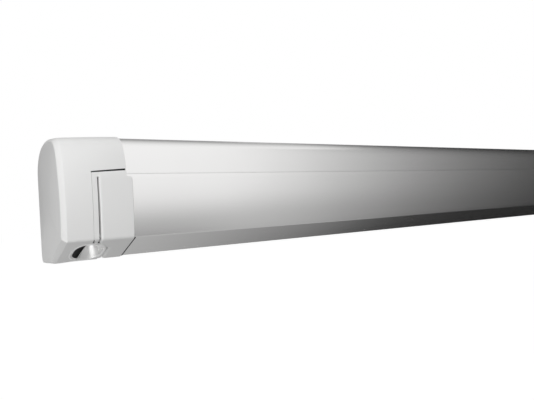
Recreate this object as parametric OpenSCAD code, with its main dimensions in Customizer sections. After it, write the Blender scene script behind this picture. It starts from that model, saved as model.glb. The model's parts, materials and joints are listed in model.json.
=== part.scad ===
// Roll-out cassette awning for the side wall of a camper: a closed box with a lead rail that two folding
// arms push out, a fabric roller with a worm drive, and two support legs stowed under the lead rail.
// Millimetres. X runs along the wall, the front faces -Y, Z is up, and the wall is the plane Y = 0.

/* [Cassette] */
// Overall length over the end caps
length = 1900; // [1880:10:2400]
// Height over the end caps
cassette_h = 130; // [129:1:136]
// Depth of the end caps
cassette_d = 92; // [91:1:98]
// Gap between the end caps and the wall
wall_gap = 1; // [0.5:0.5:3]
// Radius of the rounded top edge at the front
front_top_r = 28; // [24:1:32]
// Radius of the rounded top edge at the wall
rear_top_r = 38; // [34:1:40]
// Radius of the rounded bottom edge at the wall
rear_bottom_r = 10; // [8:1:14]
// Height at which the sloping underside starts at the front
slope_h = 23; // [22:0.5:24]
// Depth over which the underside slopes down
slope_d = 49; // [47:0.5:51]
// How far the seam between the housing and the lead rail lies below the top
seam_drop = 41; // [39:0.5:43]
// Gap at the seam between the two extrusions
seam_gap = 0.6; // [0.4:0.1:1.2]
// How far the gap between the end cap and the lead-rail cap lies below the top
split_drop = 37.5; // [36:0.5:38.5]
// Wall thickness of the extrusions
profile_t = 2; // [1.6:0.1:2.2]
// How far the plastic caps stand proud of the extrusions
cap_proud = 2.2; // [2:0.1:2.8]

/* [End caps] */
// Wall thickness of the caps where nothing lies under them
cap_t = 2.8; // [2.4:0.1:3.2]
// Clearance between a cap and what it slides over
cap_fit = 0.2; // [0.1:0.05:0.4]
// Length of the cap's cover over the roof
cover_l = 66; // [60:1:70]
// Length of the cap's front skirt
skirt_l = 30.6; // [28:0.2:33]
// Gap between the end cap and the lead-rail cap, along the length
cap_gap_x = 0.6; // [0.4:0.1:1.2]
// Gap between the end cap and the lead-rail cap, in height
cap_gap_z = 1.8; // [1:0.1:2.4]
// Length of the bevel round the end face
bevel_l = 4.5; // [3:0.5:5]
// How far the bevel draws the end face in
bevel_in = 4; // [3:0.5:6]
// Lean of the end face, inwards towards the bottom
end_lean = 0.4; // [0.2:0.1:1.6]
// Length at which the lead-rail cap ends
rail_cap_l = 72; // [70:1:78]
// Height by which the raised panel of the lead-rail cap stays below its top edge
panel_drop = 6.5; // [4:0.5:9]
// Place of the slit beside the raised panel
slit_x = 36.5; // [35:0.5:40]
// Width of the slit at its lower end
slit_w = 1.6; // [1:0.1:2]
// Depth of the slit
slit_depth = 1.5; // [1:0.1:1.8]
// Distance of the end plates from the end of the awning
plate_x = 44; // [42:1:46]
// Thickness of the end plates
plate_t = 4; // [3:0.5:5]
// Distance of the lead rail's end from the end of the awning
rail_x = 54; // [53:1:56]

/* [Wall brackets] */
// Width of a wall bracket
bracket_w = 70; // [60:1:90]
// Thickness of a wall bracket's plate
bracket_t = 5; // [4:0.5:6]
// Room for bolt heads between the bracket's plate and the housing
bolt_room = 5; // [4:0.5:6]
// Lower edge of a bracket's plate
bracket_low = 20; // [14:1:26]
// Radius of a bolt hole
bolt_hole_r = 4.25; // [3:0.25:5]
// Distance between a bracket's two bolt holes
bolt_pitch = 40; // [30:1:46]
// Height of the bolt line above the bottom of the cassette
bolt_line_h = 50; // [44:1:60]
// Distance of the outer brackets from the middle
bracket_x = 640; // [400:10:700]
// Gap between the folded arms and the screw port above them
port_rise = 0.75; // [0.5:0.05:1.5]
// Gap between the screw port and the hook chamber above it
port_gap = 1.1; // [0.8:0.1:2]

/* [Roller and drive] */
// Depth of the roller axis behind the front
roller_d = 47; // [46:0.5:48]
// Clearance between the wound fabric and the roof
roof_clear = 4.8; // [4:0.1:6]
// Room for the fabric between the folded arms and the roll
roll_clear = 4.45; // [4:0.05:5]
// Thickness of the wound fabric on the roller tube
wound_t = 5; // [4:0.5:6]
// Wall of the roller tube
roller_t = 1.5; // [1:0.1:2]
// Distance of the fabric's edge from the end of the awning
fabric_x = 82; // [80:1:100]
// Thickness of the fabric
fabric_t = 0.6; // [0.4:0.1:0.8]
// Radius of the drive shaft
shaft_r = 6; // [5:0.5:7]
// Teeth of the worm wheel
wheel_teeth = 10; // [9:1:11]
// Pitch radius of the worm wheel
wheel_r = 14; // [13:0.5:14]
// Pitch radius of the worm
worm_r = 9.6; // [9:0.2:10]
// Length of the worm
worm_l = 26; // [20:1:27]
// Radius of the crank shaft
crank_r = 5; // [4:0.5:5.5]
// Distance of the crank shaft from the end of the awning
crank_x = 31; // [30:0.5:32]
// Half the width of the crank opening
bell_r = 14.5; // [13:0.5:15]
// How much longer than wide the crank opening is, towards the wall
bell_long = 6; // [3:0.5:8]
// Wall of the bell round the crank opening
bell_t = 2; // [1.6:0.2:2.4]
// Height of the middle of the crank eye
eye_h = 33; // [31:1:36]
// Outer radius of the crank eye
eye_r = 9; // [7:0.5:10]
// Radius of the hole in the crank eye
eye_hole_r = 4.5; // [3:0.5:5]

/* [Arms] */
// Distance between the two elbows of the closed awning
elbow_room = 190; // [150:10:400]
// Distance between the folded upper arm and forearm
arm_pitch = 28; // [27:0.5:29]
// Width of an arm tube
arm_w = 24; // [22:0.5:24]
// Height of an arm tube
arm_h = 26; // [24:0.5:26]
// Wall of an arm tube
arm_t = 2; // [1.5:0.1:2.5]
// Downward pitch of the plane in which the arms unfold
arm_pitch_angle = 10; // [8:0.5:11]
// Distance of the shoulder pivots from the end of the awning
shoulder_x = 110; // [104:1:150]
// Height of the wrist pivots
wrist_h = 43.5; // [43:0.25:45]
// Radius of the arm pins
pin_r = 5; // [4:0.25:6]
// Radial clearance of a pin in its bore
pin_fit = 0.05; // [0.02:0.01:0.09]
// Radial clearance of the right wrist pin
open_pin_fit = 0.3; // [0.2:0.05:0.5]
// Height of a knuckle between its ears
knuckle_h = 16; // [14:0.5:17]
// Clearance between a knuckle and its ears
knuckle_fit = 0.3; // [0.2:0.05:0.6]

/* [Lead rail and legs] */
// Height of the top of the rail's shelf
shelf_h = 26.5; // [26:0.25:27]
// Clear width of a leg bay
bay_w = 14; // [13.6:0.1:14.4]
// Wall between the leg bays
bay_t = 1.8; // [1.5:0.1:2]
// Distance of the leg pins from the end of the awning
leg_x = 84; // [80:1:90]
// Width of a leg tube
leg_w = 11; // [10:0.25:12]
// Height of a leg tube
leg_h = 15; // [14:0.25:15.5]
// Wall of the leg tubes
leg_t = 1.3; // [1:0.1:1.5]
// Sliding clearance between the leg tubes
leg_fit = 0.3; // [0.2:0.05:0.5]
// Length of an outer leg tube from its pin
leg_l = 920; // [700:10:930]
// Travel of the inner leg
leg_travel = 720; // [400:10:730]
// Radius of the round hinge end of a leg
leg_end_r = 8.5; // [8:0.25:9]
// Radius of a leg pin
leg_pin_r = 3; // [2:0.25:4]
// Length of a foot from its pivot
foot_l = 62; // [40:1:66]
// Radius of the keder rope
keder_r = 2.8; // [2:0.1:3]

/* [Hidden] */
$fn = 64;
hull_fn = 32;
eps = 0.01;

silver = "#c9cbcd";
white = "#e6e6e3";
grey = "#8d9095";
dark = "#3a3c3f";
steel = "#a9adb2";
brass = "#c8a85a";
cloth = "#b9bec4";

// Places along the box: heights are above the bottom of the cassette, lengths from its left end
function up(h) = h - bolt_line_h;
function from_end(e) = e - length / 2;
front_y = -(wall_gap + cassette_d);
rear_y = -wall_gap;
front_corner = [front_y + front_top_r, up(cassette_h - front_top_r)];
rear_corner = [rear_y - rear_top_r, up(cassette_h - rear_top_r)];
bottom_corner = [rear_y - rear_bottom_r, up(rear_bottom_r)];
slope_angle = atan(slope_h / slope_d);
bracket_y = -bracket_t;
house_y = bracket_y - bolt_room;
house_in_y = house_y - profile_t;
rail_in_y = front_y + cap_proud + profile_t;
house_x = plate_x + plate_t;
seam_h = cassette_h - seam_drop;
seam_low = seam_h - seam_gap / 2;
seam_high = seam_h + seam_gap / 2;
split_h = cassette_h - split_drop;
cover_low = split_h + cap_gap_z / 2;
rail_cap_top = split_h - cap_gap_z / 2;
rail_cap_x = skirt_l + cap_gap_x;

// Shoulders and wrists of the folded arms
arm_l = (length - elbow_room) / 2 - shoulder_x;
shoulder_clear = 2;
shoulder_y = house_in_y - shoulder_clear - arm_w / 2;
wrist_y = shoulder_y - arm_pitch * cos(arm_pitch_angle);
shoulder_h = wrist_h + arm_pitch * sin(arm_pitch_angle);
arm_top = shoulder_h + arm_w / 2 * sin(arm_pitch_angle) + arm_h / 2 * cos(arm_pitch_angle);

// Hook of the wall brackets, above the rear screw port
port_r = 4.5;
port_h = arm_top + port_rise + port_r;
hook_t = 3;
hook_lip = 4.5;
hook_lip_t = 2.5;
hook_reach = 3.4;
hook_wall = 1.6;
hook_fit = 0.3;
hook_h = port_h + port_r + port_gap + hook_wall + hook_fit;
bracket_top = 92;

// Roller, worm and crank: the roll fills the height between the arms' plane and the roof, or else the depth
roller_y = front_y + roller_d;
roll_top = cassette_h - cap_proud - profile_t - roof_clear;
roll_by_height = ((roll_top - shoulder_h) * cos(arm_pitch_angle) - arm_h / 2 - roll_clear
                  + (shoulder_y - roller_y) * sin(arm_pitch_angle)) / (1 + cos(arm_pitch_angle));
roll_by_depth = house_in_y - hook_reach - hook_wall - roller_y;
roll_r = min(roll_by_height, roll_by_depth);
roller_h = roll_top - roll_by_height;
roller_r = roll_r - wound_t;
crank_y = roller_y - wheel_r - worm_r;
lead = 2 * PI * wheel_r / wheel_teeth;
tooth_w = lead * 0.34;
addendum = lead * 0.25;
dedendum = lead * 0.295;
flank = tan(20);
wheel_w = 9;
gear_room = 1;
case_t = 2.5;
case_x0 = crank_x - 14;
case_r = wheel_r + addendum + gear_room + case_t;
case_half = worm_r + addendum + gear_room + case_t;
worm_h0 = roller_h - worm_l / 2;
journal_l = 4;
bush_t = 3;
bush_flange = 1;
port_bore = 2.5;
port_bite = 0.5;
port_reach = front_top_r - cap_proud - profile_t - port_r + port_bite;
port_front = [front_corner[0] + port_reach * cos(120), front_corner[1] + port_reach * sin(120)];
port_rear = [house_in_y - port_r + port_bite, up(port_h)];
plate_drop = 28;
plate_in = 10;
screw_head_t = 3;
screw_hex_r = 2;
screw_l = 26;
bell_top = 50;
tongue_r = bell_r + bell_t;
tongue_gap = 0.7;
notch_r = 4;
rail_wall_t = 2.2;

// Arms: pivots in the arms' own plane, whose x runs along the awning and whose -y points outwards
elbow = [arm_l, -arm_pitch / 2];
wrist = [0, -arm_pitch];
eye_outer = pin_r + 6.5;
ear_r = pin_r + 7;
ear_gap = knuckle_h / 2 + knuckle_fit;
neck_l = 22;
collar_l = 4;
plug_l = 30;
plug_fit = 0.1;
elbow_l = 20;
elbow_block = 20;
block_in = 1;
fold_gap = 2.5;
spring_fit = 0.3;
spring_t = 3;
spring_in = 20;
tube_corner = 3;

// Fabric path: it leaves the underside of the roll along the arms' plane and ends at the keder
out_dir = [-cos(arm_pitch_angle), -sin(arm_pitch_angle)];
down_dir = [sin(arm_pitch_angle), -cos(arm_pitch_angle)];
soft_gap = 0.3;
fabric_mid = roll_r + soft_gap + fabric_t / 2;
keder_fit = 0.2;
keder_bore = keder_r + keder_fit;
keder_boss = keder_bore + 1.5;
keder_y = rail_in_y + keder_boss;
fabric_run = (keder_y - roller_y - fabric_mid * down_dir[0]) / out_dir[0];
keder_z = up(roller_h) + fabric_mid * down_dir[1] + fabric_run * out_dir[1];
slot_w = 1.8;

// Leg bays, from the wall side to the front, and the legs in them
floor_lip = 3;
rail_rear_y = house_in_y - floor_lip - 0.3;
rear_bay_y = rail_rear_y - bay_t - bay_w / 2;
front_bay_y = rear_bay_y - bay_w - bay_t;
bay_front_y = front_bay_y - bay_w / 2;
bay_low = 3;
leg_clear = 0.5;
leg_mid_h = shelf_h - profile_t - leg_clear - leg_end_r;
inner_w = leg_w - 2 * leg_t - 2 * leg_fit;
inner_h = leg_h - 2 * leg_t - 2 * leg_fit;
inner_start = 130;
hinge_l = 30;
clamp_l = 42;
clamp_t = 1;
foot_reach = 32;
foot_x = leg_l + foot_reach;
foot_r = 7;
foot_pin_r = 2;
lug_w = 4.4;
foot_gap = 0.3;
foot_t = 5;
lever_l = 34;
lever_t = 3.2;
lever_pin_r = 1;
lever_neck = 5;
lever_x = leg_l - 5;
lever_mid_h = leg_mid_h - leg_h / 2 - clamp_t - soft_gap - lever_t / 2;

// Rectangle between two corners
module rect(y0, z0, y1, z1) translate([y0, z0]) square([y1 - y0, z1 - z0]);

// Extrusion along X of a section drawn in Y and Z
module along_x(x0, x1) translate([x0, 0, 0]) rotate([90, 0, 90]) linear_extrude(x1 - x0) children();

// Round bar or bore along X, Y or Z
module rod_x(x0, x1, y, z, r) translate([x0, y, z]) rotate([0, 90, 0]) cylinder(r = r, h = x1 - x0);
module rod_y(x, y0, y1, z, r) translate([x, y0, z]) rotate([-90, 0, 0]) cylinder(r = r, h = y1 - y0);
module rod_z(x, y, z0, z1, r) translate([x, y, z0]) cylinder(r = r, h = z1 - z0);

// The left half's geometry, or its mirror image for the right
module on_side(side) if (side == "left") children(); else mirror([1, 0, 0]) children();

// Rectangle with round corners, centred
module soft_rect(w, h, r) {
    square([w - 2 * r, h], center = true);
    square([w, h - 2 * r], center = true);
    for (sx = [-1, 1], sy = [-1, 1])
        translate([sx * (w / 2 - r), sy * (h / 2 - r)]) circle(r);
}

// Cross-section of the closed awning, drawn in by an inset on every side
module outline(inset) {
    z0 = up(inset);
    z1 = up(cassette_h - inset);
    y0 = front_y + inset;
    y1 = rear_y - inset;
    difference() {
        union() {
            rect(y0, z0, bottom_corner[0], rear_corner[1]);
            rect(y0, bottom_corner[1], y1, rear_corner[1]);
            rect(y0, z0, rear_corner[0], front_corner[1]);
            rect(front_corner[0], z0, rear_corner[0], z1);
            translate(front_corner) circle(front_top_r - inset);
            translate(rear_corner) circle(rear_top_r - inset);
            translate(bottom_corner) circle(rear_bottom_r - inset);
        }
        slope_cut(inset);
    }
}

// What the sloping underside takes off the section
module slope_cut(inset) {
    reach = cassette_d;
    translate([front_y + inset * sin(slope_angle), up(slope_h) + inset * cos(slope_angle)])
        rotate(-slope_angle)
            translate([-reach, -reach]) square([3 * reach, reach]);
}

// Housing: roof above the seam, wall side, floor lip, hook chamber and screw ports
module housing_section() {
    difference() {
        intersection() {
            outline(cap_proud);
            rect(front_y, up(0), house_y, up(cassette_h));
        }
        intersection() {
            outline(cap_proud + profile_t);
            rect(front_y, up(0), house_in_y, up(cassette_h));
        }
        rect(front_y - 1, up(-1), house_in_y - floor_lip, up(seam_high));
        rect(house_in_y - hook_reach, up(hook_h - hook_fit), house_y + 1, up(hook_h + hook_t + hook_fit));
    }
    difference() {
        rect(house_in_y - hook_reach - hook_wall, up(hook_h - hook_fit - hook_wall),
             house_in_y + eps, up(hook_h + hook_t + hook_lip + hook_fit + hook_wall));
        rect(house_in_y - hook_reach, up(hook_h - hook_fit),
             house_in_y - hook_reach + hook_lip_t + 2 * hook_fit, up(hook_h + hook_t + hook_lip + hook_fit));
        rect(house_in_y - hook_reach, up(hook_h - hook_fit), house_y + 1, up(hook_h + hook_t + hook_fit));
    }
    for (p = [port_front, port_rear])
        difference() {
            translate(p) circle(port_r);
            translate(p) circle(port_bore);
        }
    rect(rail_in_y - eps, up(seam_high), rail_in_y + 6, up(seam_high + profile_t));
}

module housing() color(silver)
    along_x(from_end(house_x), -from_end(house_x)) housing_section();

// End cap: bevelled nose, skirt, and the cover that reaches over the roof
module cap_nose() {
    hull($fn = hull_fn) {
        translate([from_end(0), 0, up(cassette_h)]) rotate([0, -end_lean, 0]) translate([0, 0, -up(cassette_h)])
            along_x(0, eps) outline(bevel_in);
        along_x(from_end(bevel_l), from_end(bevel_l + eps)) outline(0);
    }
}

// Plan of the crank opening, a short slot
module bell_plan(r) {
    translate([from_end(crank_x), crank_y]) circle(r);
    translate([from_end(crank_x), crank_y + bell_long]) circle(r);
    translate([from_end(crank_x) - r, crank_y]) square([2 * r, bell_long]);
}

// Plan of the tongue that carries the crank bell between the cap and the rail cap
module tongue_plan(grow) {
    bell_plan(tongue_r + grow);
    translate([from_end(0), crank_y]) square([crank_x + tongue_r + grow, rear_y - crank_y]);
}

// Plan of the notch in the rail cap: close round the front of the bell, wider beside it
module notch_plan() {
    wide = rail_x - rail_wall_t - tongue_gap;
    tongue_plan(tongue_gap);
    translate([from_end(0), crank_y + notch_r - 2]) square([wide, rear_y - crank_y]);
    translate([from_end(0), crank_y - 2]) square([wide - notch_r, rear_y - crank_y]);
    translate([from_end(wide) - notch_r, crank_y + notch_r - 2]) circle(notch_r);
}

module end_cap(with_bell) {
    difference() {
        union() {
            difference() {
                union() {
                    cap_nose();
                    along_x(from_end(bevel_l), from_end(cover_l)) outline(0);
                }
                along_x(from_end(bevel_l + eps), from_end(plate_x) - cap_fit) outline(cap_t);
                along_x(from_end(plate_x) - cap_fit - eps, from_end(cover_l) + 1) outline(cap_proud - cap_fit);
                translate([from_end(skirt_l), front_y - 1, up(-1)])
                    cube([length, cassette_d + 2, cover_low + 1]);
                translate([from_end(plate_x) - cap_fit, house_y + cap_fit, up(-1)])
                    cube([length, cassette_d, cassette_h + 2]);
            }
            if (with_bell) cap_tongue();
        }
        if (with_bell)
            translate([0, 0, up(-1)]) linear_extrude(bell_top + 2) bell_plan(bell_r);
    }
}

// Floor of the tongue and the bell round the crank eye
module cap_tongue() {
    intersection() {
        along_x(from_end(skirt_l) - eps, from_end(house_x) - cap_fit) difference() {
            outline(0);
            outline(cap_t);
        }
        translate([0, 0, up(-1)]) linear_extrude(shelf_h) tongue_plan(0);
    }
    intersection() {
        along_x(from_end(bevel_l), from_end(cover_l)) outline(0);
        translate([0, 0, up(-1)]) linear_extrude(bell_top + 1) bell_plan(tongue_r);
    }
}

module left_end_cap() color(white) end_cap(true);
module right_end_cap() color(white) on_side("right") end_cap(false);

// End plates carry the roller and close the housing's ends under the caps
module end_plate() {
    difference() {
        along_x(from_end(plate_x), from_end(house_x)) intersection() {
            outline(cap_proud);
            rect(front_y + cap_proud + plate_in, up(roller_h - plate_drop), house_y, up(cassette_h));
        }
        rod_x(from_end(plate_x) - 1, from_end(house_x) + 1, roller_y, up(roller_h), shaft_r + bush_t);
        for (p = [port_front, port_rear])
            rod_x(from_end(plate_x) - 1, from_end(house_x) + 1, p[0], p[1], port_bore);
    }
}

module left_end_plate() color(grey) end_plate();
module right_end_plate() color(grey) on_side("right") end_plate();

module end_plate_screws() color(steel)
    for (side = ["left", "right"], p = [port_front, port_rear])
        on_side(side) {
            rod_x(from_end(plate_x), from_end(plate_x) + screw_l, p[0], p[1], port_bore - pin_fit);
            difference() {
                rod_x(from_end(plate_x) - screw_head_t, from_end(plate_x), p[0], p[1], port_r);
                translate([from_end(plate_x) - screw_head_t, p[0], p[1]]) rotate([0, 90, 0])
                    cylinder(r = screw_hex_r, h = screw_head_t * 4 / 3, center = true, $fn = 6);
            }
        }

// Wall bracket: plate, pad and the hook on which the housing hangs
module wall_bracket(x) {
    translate([x, 0, 0]) difference() {
        along_x(-bracket_w / 2, bracket_w / 2) {
            rect(bracket_y, up(bracket_low), 0, up(bracket_top));
            rect(house_y, up(bracket_low), bracket_y + eps, up(bracket_low + 8));
            rect(house_in_y - hook_reach + hook_fit, up(hook_h), bracket_y + eps, up(hook_h + hook_t));
            rect(house_in_y - hook_reach + hook_fit, up(hook_h),
                 house_in_y - hook_reach + hook_fit + hook_lip_t, up(hook_h + hook_t + hook_lip));
        }
        for (s = [-1, 1])
            rod_y(s * bolt_pitch / 2, bracket_y - 1, 1, 0, bolt_hole_r);
    }
}

module left_wall_bracket() color(grey) wall_bracket(-bracket_x);
module centre_wall_bracket() color(grey) wall_bracket(0);
module right_wall_bracket() color(grey) wall_bracket(bracket_x);

// Rubber bulb that closes the gap to the wall above the brackets
module wall_seal() color(dark) {
    seal_r = 4;
    seal_h = 103;
    along_x(from_end(cover_l) + 1, -from_end(cover_l) - 1) {
        rect(house_y, up(seal_h - 5), house_y + 3, up(seal_h + 5));
        translate([-seal_r - soft_gap, up(seal_h)]) difference() {
            circle(seal_r);
            circle(seal_r - 1.2);
        }
    }
}

// Gear housing in two halves, split through the crank shaft
module gear_block(x0, x1) {
    difference() {
        along_x(from_end(x0), from_end(x1)) {
            translate([roller_y, up(roller_h)]) circle(case_r);
            rect(crank_y - case_half, up(worm_h0 - journal_l), roller_y, up(worm_h0 + worm_l + journal_l));
        }
        rod_x(from_end(crank_x - wheel_w / 2 - gear_room), from_end(crank_x + wheel_w / 2 + gear_room),
              roller_y, up(roller_h), case_r - case_t);
        rod_z(from_end(crank_x), crank_y, up(worm_h0 - gear_room / 2), up(worm_h0 + worm_l + gear_room / 2),
              case_half - case_t);
        rod_z(from_end(crank_x), crank_y, up(0), up(cassette_h), crank_r + pin_fit);
        rod_x(from_end(case_x0 + case_t), from_end(plate_x) + 1, roller_y, up(roller_h), shaft_r + pin_fit);
    }
}

module gear_case() color(grey) gear_block(crank_x, plate_x);
module gear_cover() color(dark) gear_block(case_x0, crank_x);

// Flanged bush in an end plate
module bush() {
    difference() {
        union() {
            rod_x(from_end(plate_x), from_end(house_x), roller_y, up(roller_h), shaft_r + bush_t);
            rod_x(from_end(house_x), from_end(house_x) + bush_flange, roller_y, up(roller_h),
                  shaft_r + bush_t + 2);
        }
        rod_x(from_end(plate_x) - 1, from_end(house_x) + bush_flange + 1, roller_y, up(roller_h),
              shaft_r + pin_fit);
    }
}

module drive_bush() color(brass) bush();
module idle_bush() color(brass) on_side("right") bush();

// Roller
plug_x = house_x + bush_flange + soft_gap;
tube_x = plug_x + 3;

module roller_tube() color(silver)
    difference() {
        rod_x(from_end(tube_x), -from_end(tube_x), roller_y, up(roller_h), roller_r);
        rod_x(from_end(tube_x) - 1, 1 - from_end(tube_x), roller_y, up(roller_h), roller_r - roller_t);
    }

module fabric_roll() color(cloth)
    difference() {
        rod_x(from_end(fabric_x), -from_end(fabric_x), roller_y, up(roller_h), roll_r);
        rod_x(from_end(fabric_x) - 1, 1 - from_end(fabric_x), roller_y, up(roller_h), roller_r);
    }

// End plug of the roller tube, with its shaft out to a given length
module roller_plug(shaft_x) {
    rod_x(from_end(shaft_x), from_end(plug_x) + eps, roller_y, up(roller_h), shaft_r);
    rod_x(from_end(plug_x), from_end(tube_x), roller_y, up(roller_h), roller_r);
    rod_x(from_end(tube_x) - eps, from_end(tube_x) + plug_l, roller_y, up(roller_h),
          roller_r - roller_t - plug_fit);
}

module drive_shaft() color(steel) roller_plug(case_x0 + case_t + soft_gap);
module idle_plug() color(dark) on_side("right") roller_plug(plate_x);

// Worm wheel, with a gap between two teeth facing the worm
function tooth_point(a, half, r) = [r * cos(a + half / r * 180 / PI), r * sin(a + half / r * 180 / PI)];
wheel_root = wheel_r - dedendum;
wheel_tip = wheel_r + addendum;
root_half = tooth_w / 2 + dedendum * flank;
tip_half = tooth_w / 2 - addendum * flank;

module worm_wheel() color(brass)
    difference() {
        along_x(from_end(crank_x - wheel_w / 2), from_end(crank_x + wheel_w / 2))
            translate([roller_y, up(roller_h)]) polygon([
                for (i = [0 : wheel_teeth - 1])
                    let (a = 180 + (i + 0.5) * 360 / wheel_teeth)
                        each [
                            tooth_point(a, -root_half, wheel_root), tooth_point(a, -tip_half, wheel_tip),
                            tooth_point(a, tip_half, wheel_tip), tooth_point(a, root_half, wheel_root)
                        ]
            ]);
        rod_x(from_end(crank_x - wheel_w), from_end(crank_x + wheel_w), roller_y, up(roller_h), shaft_r);
    }

// Worm: a sleeve on the crank shaft whose radius follows one right-hand thread
worm_sides = 24;
worm_rings = 36;
worm_bore = crank_r / cos(180 / worm_sides);
function near_thread(z, a) =
    let (t = (z - roller_h) / lead - a / 360 + 1 / 4)
        abs(t - round(t)) * lead;
function thread_r(d) =
    let (s = (tooth_w / 2 - d) / flank)
        worm_r + max(-dedendum, min(addendum, s));

module worm() color(steel) {
    step = worm_l / worm_rings;
    outer = [
        for (j = [0 : worm_rings], i = [0 : worm_sides - 1])
            let (z = worm_h0 + j * step, a = i * 360 / worm_sides, r = thread_r(near_thread(z, a)))
                [from_end(crank_x) + r * cos(a), crank_y + r * sin(a), up(z)]
    ];
    inner = [
        for (j = [0, worm_rings], i = [0 : worm_sides - 1])
            let (a = i * 360 / worm_sides)
                [from_end(crank_x) + worm_bore * cos(a), crank_y + worm_bore * sin(a), up(worm_h0 + j * step)]
    ];
    base = len(outer);
    last = worm_rings * worm_sides;
    next = [for (i = [0 : worm_sides - 1]) (i + 1) % worm_sides];
    polyhedron(concat(outer, inner), [
        for (j = [0 : worm_rings - 1], i = [0 : worm_sides - 1])
            let (p = j * worm_sides, q = p + worm_sides)
                each [[p + i, q + i, p + next[i]], [p + next[i], q + i, q + next[i]]],
        for (i = [0 : worm_sides - 1])
            let (p = base, q = base + worm_sides)
                each [
                    [p + next[i], q + i, p + i], [p + next[i], q + next[i], q + i],
                    [i, next[i], p + i], [p + i, next[i], p + next[i]],
                    [last + next[i], last + i, q + i], [last + next[i], q + i, q + next[i]]
                ]
    ]);
}

// Crank shaft with the eye that the crank hooks into
module crank_shaft() color(steel) {
    eye_t = 8;
    difference() {
        union() {
            rod_z(from_end(crank_x), crank_y, up(eye_h), up(worm_h0 + worm_l + journal_l), crank_r - eps);
            rod_y(from_end(crank_x), crank_y - eye_t / 2, crank_y + eye_t / 2, up(eye_h), eye_r);
        }
        rod_y(from_end(crank_x), crank_y - eye_t, crank_y + eye_t, up(eye_h), eye_hole_r);
    }
}

// Free stretch of fabric between the roll and the keder slot
module canopy_fabric() color(cloth)
    along_x(from_end(fabric_x), -from_end(fabric_x))
        translate([roller_y, up(roller_h)]) polygon([
            for (q = [[0, -1], [1, -1], [1, 1], [0, 1]])
                let (s = q[0] * (fabric_run - keder_r - soft_gap), t = fabric_mid + q[1] * fabric_t / 2)
                    s * out_dir + t * down_dir
        ]);

// Arms are drawn for the left side in their own tilted plane
module in_arm_plane(side) on_side(side)
    translate([from_end(shoulder_x), shoulder_y, up(shoulder_h)]) rotate([arm_pitch_angle, 0, 0]) children();

module arm_tube(x0, x1, y) {
    translate([x0, y, 0]) rotate([90, 0, 90]) linear_extrude(x1 - x0) difference() {
        soft_rect(arm_w, arm_h, tube_corner);
        square([arm_w - 2 * arm_t, arm_h - 2 * arm_t], center = true);
    }
}

tube_start = neck_l + collar_l;
tube_end = arm_l - elbow_l - elbow_block;

module arm_plug(x0, x1, y) {
    w = arm_w - 2 * arm_t - 2 * plug_fit;
    h = arm_h - 2 * arm_t - 2 * plug_fit;
    translate([x0, y - w / 2, -h / 2]) cube([x1 - x0, w, h]);
}

// Knuckle at the shoulder or wrist: eye, neck, collar and plug
module end_knuckle(y, bore_r) {
    difference() {
        union() {
            translate([0, y, -knuckle_h / 2]) cylinder(r = eye_outer, h = knuckle_h);
            translate([0, y - eye_outer + 1.5, -knuckle_h / 2])
                cube([neck_l + eps, 2 * eye_outer - 3, knuckle_h]);
            translate([neck_l, y, 0]) rotate([90, 0, 90]) linear_extrude(collar_l) soft_rect(arm_w, arm_h, tube_corner);
            arm_plug(tube_start - eps, tube_start + plug_l, y);
        }
        translate([0, y, -arm_h]) cylinder(r = bore_r, h = 2 * arm_h);
    }
}

module ear_pair(p, r)
    for (z = [-arm_h / 2, ear_gap])
        translate([p[0], p[1], z]) cylinder(r = r, h = arm_h / 2 - ear_gap);

module pin_hole(p, r) translate([p[0], p[1], -arm_h]) cylinder(r = r, h = 2 * arm_h);

// Outline of an elbow part: round about the pivot, running into the arm's end block
module elbow_plan(r, y) {
    hull($fn = hull_fn) {
        translate(elbow) circle(r);
        translate([arm_l - elbow_l - 1, y]) square([2, 8], center = true);
    }
}

module elbow_fork_shape() {
    y0 = elbow[1] + fold_gap;
    difference() {
        union() {
            for (z = [-arm_h / 2, ear_gap])
                translate([0, 0, z]) linear_extrude(arm_h / 2 - ear_gap) elbow_plan(ear_r, 0);
            translate([tube_end, y0, -arm_h / 2]) cube([elbow_block, arm_w / 2 - block_in - y0, arm_h]);
            arm_plug(tube_end - plug_l, tube_end + eps, 0);
        }
        pin_hole(elbow, pin_r + pin_fit);
    }
}

module elbow_knuckle_shape() {
    y1 = elbow[1] - fold_gap;
    difference() {
        union() {
            translate([0, 0, -knuckle_h / 2]) linear_extrude(knuckle_h) elbow_plan(eye_outer, -arm_pitch);
            translate([tube_end, -arm_pitch - arm_w / 2, -arm_h / 2])
                cube([elbow_block, arm_w / 2 + arm_pitch + y1, arm_h]);
            arm_plug(tube_end - plug_l, tube_end + eps, -arm_pitch);
        }
        pin_hole(elbow, pin_r + pin_fit);
    }
}

module arm_pin(p, r) translate([p[0], p[1], -arm_h / 2]) cylinder(r = r, h = arm_h);

module arm_spring() {
    spring_r = arm_w / 2 - arm_t - spring_fit;
    translate([tube_start + plug_l + spring_in, 0, 0]) rotate([0, 90, 0]) difference() {
        cylinder(r = spring_r, h = arm_l * 0.45);
        translate([0, 0, -1]) cylinder(r = spring_r - spring_t, h = arm_l);
    }
}

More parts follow.
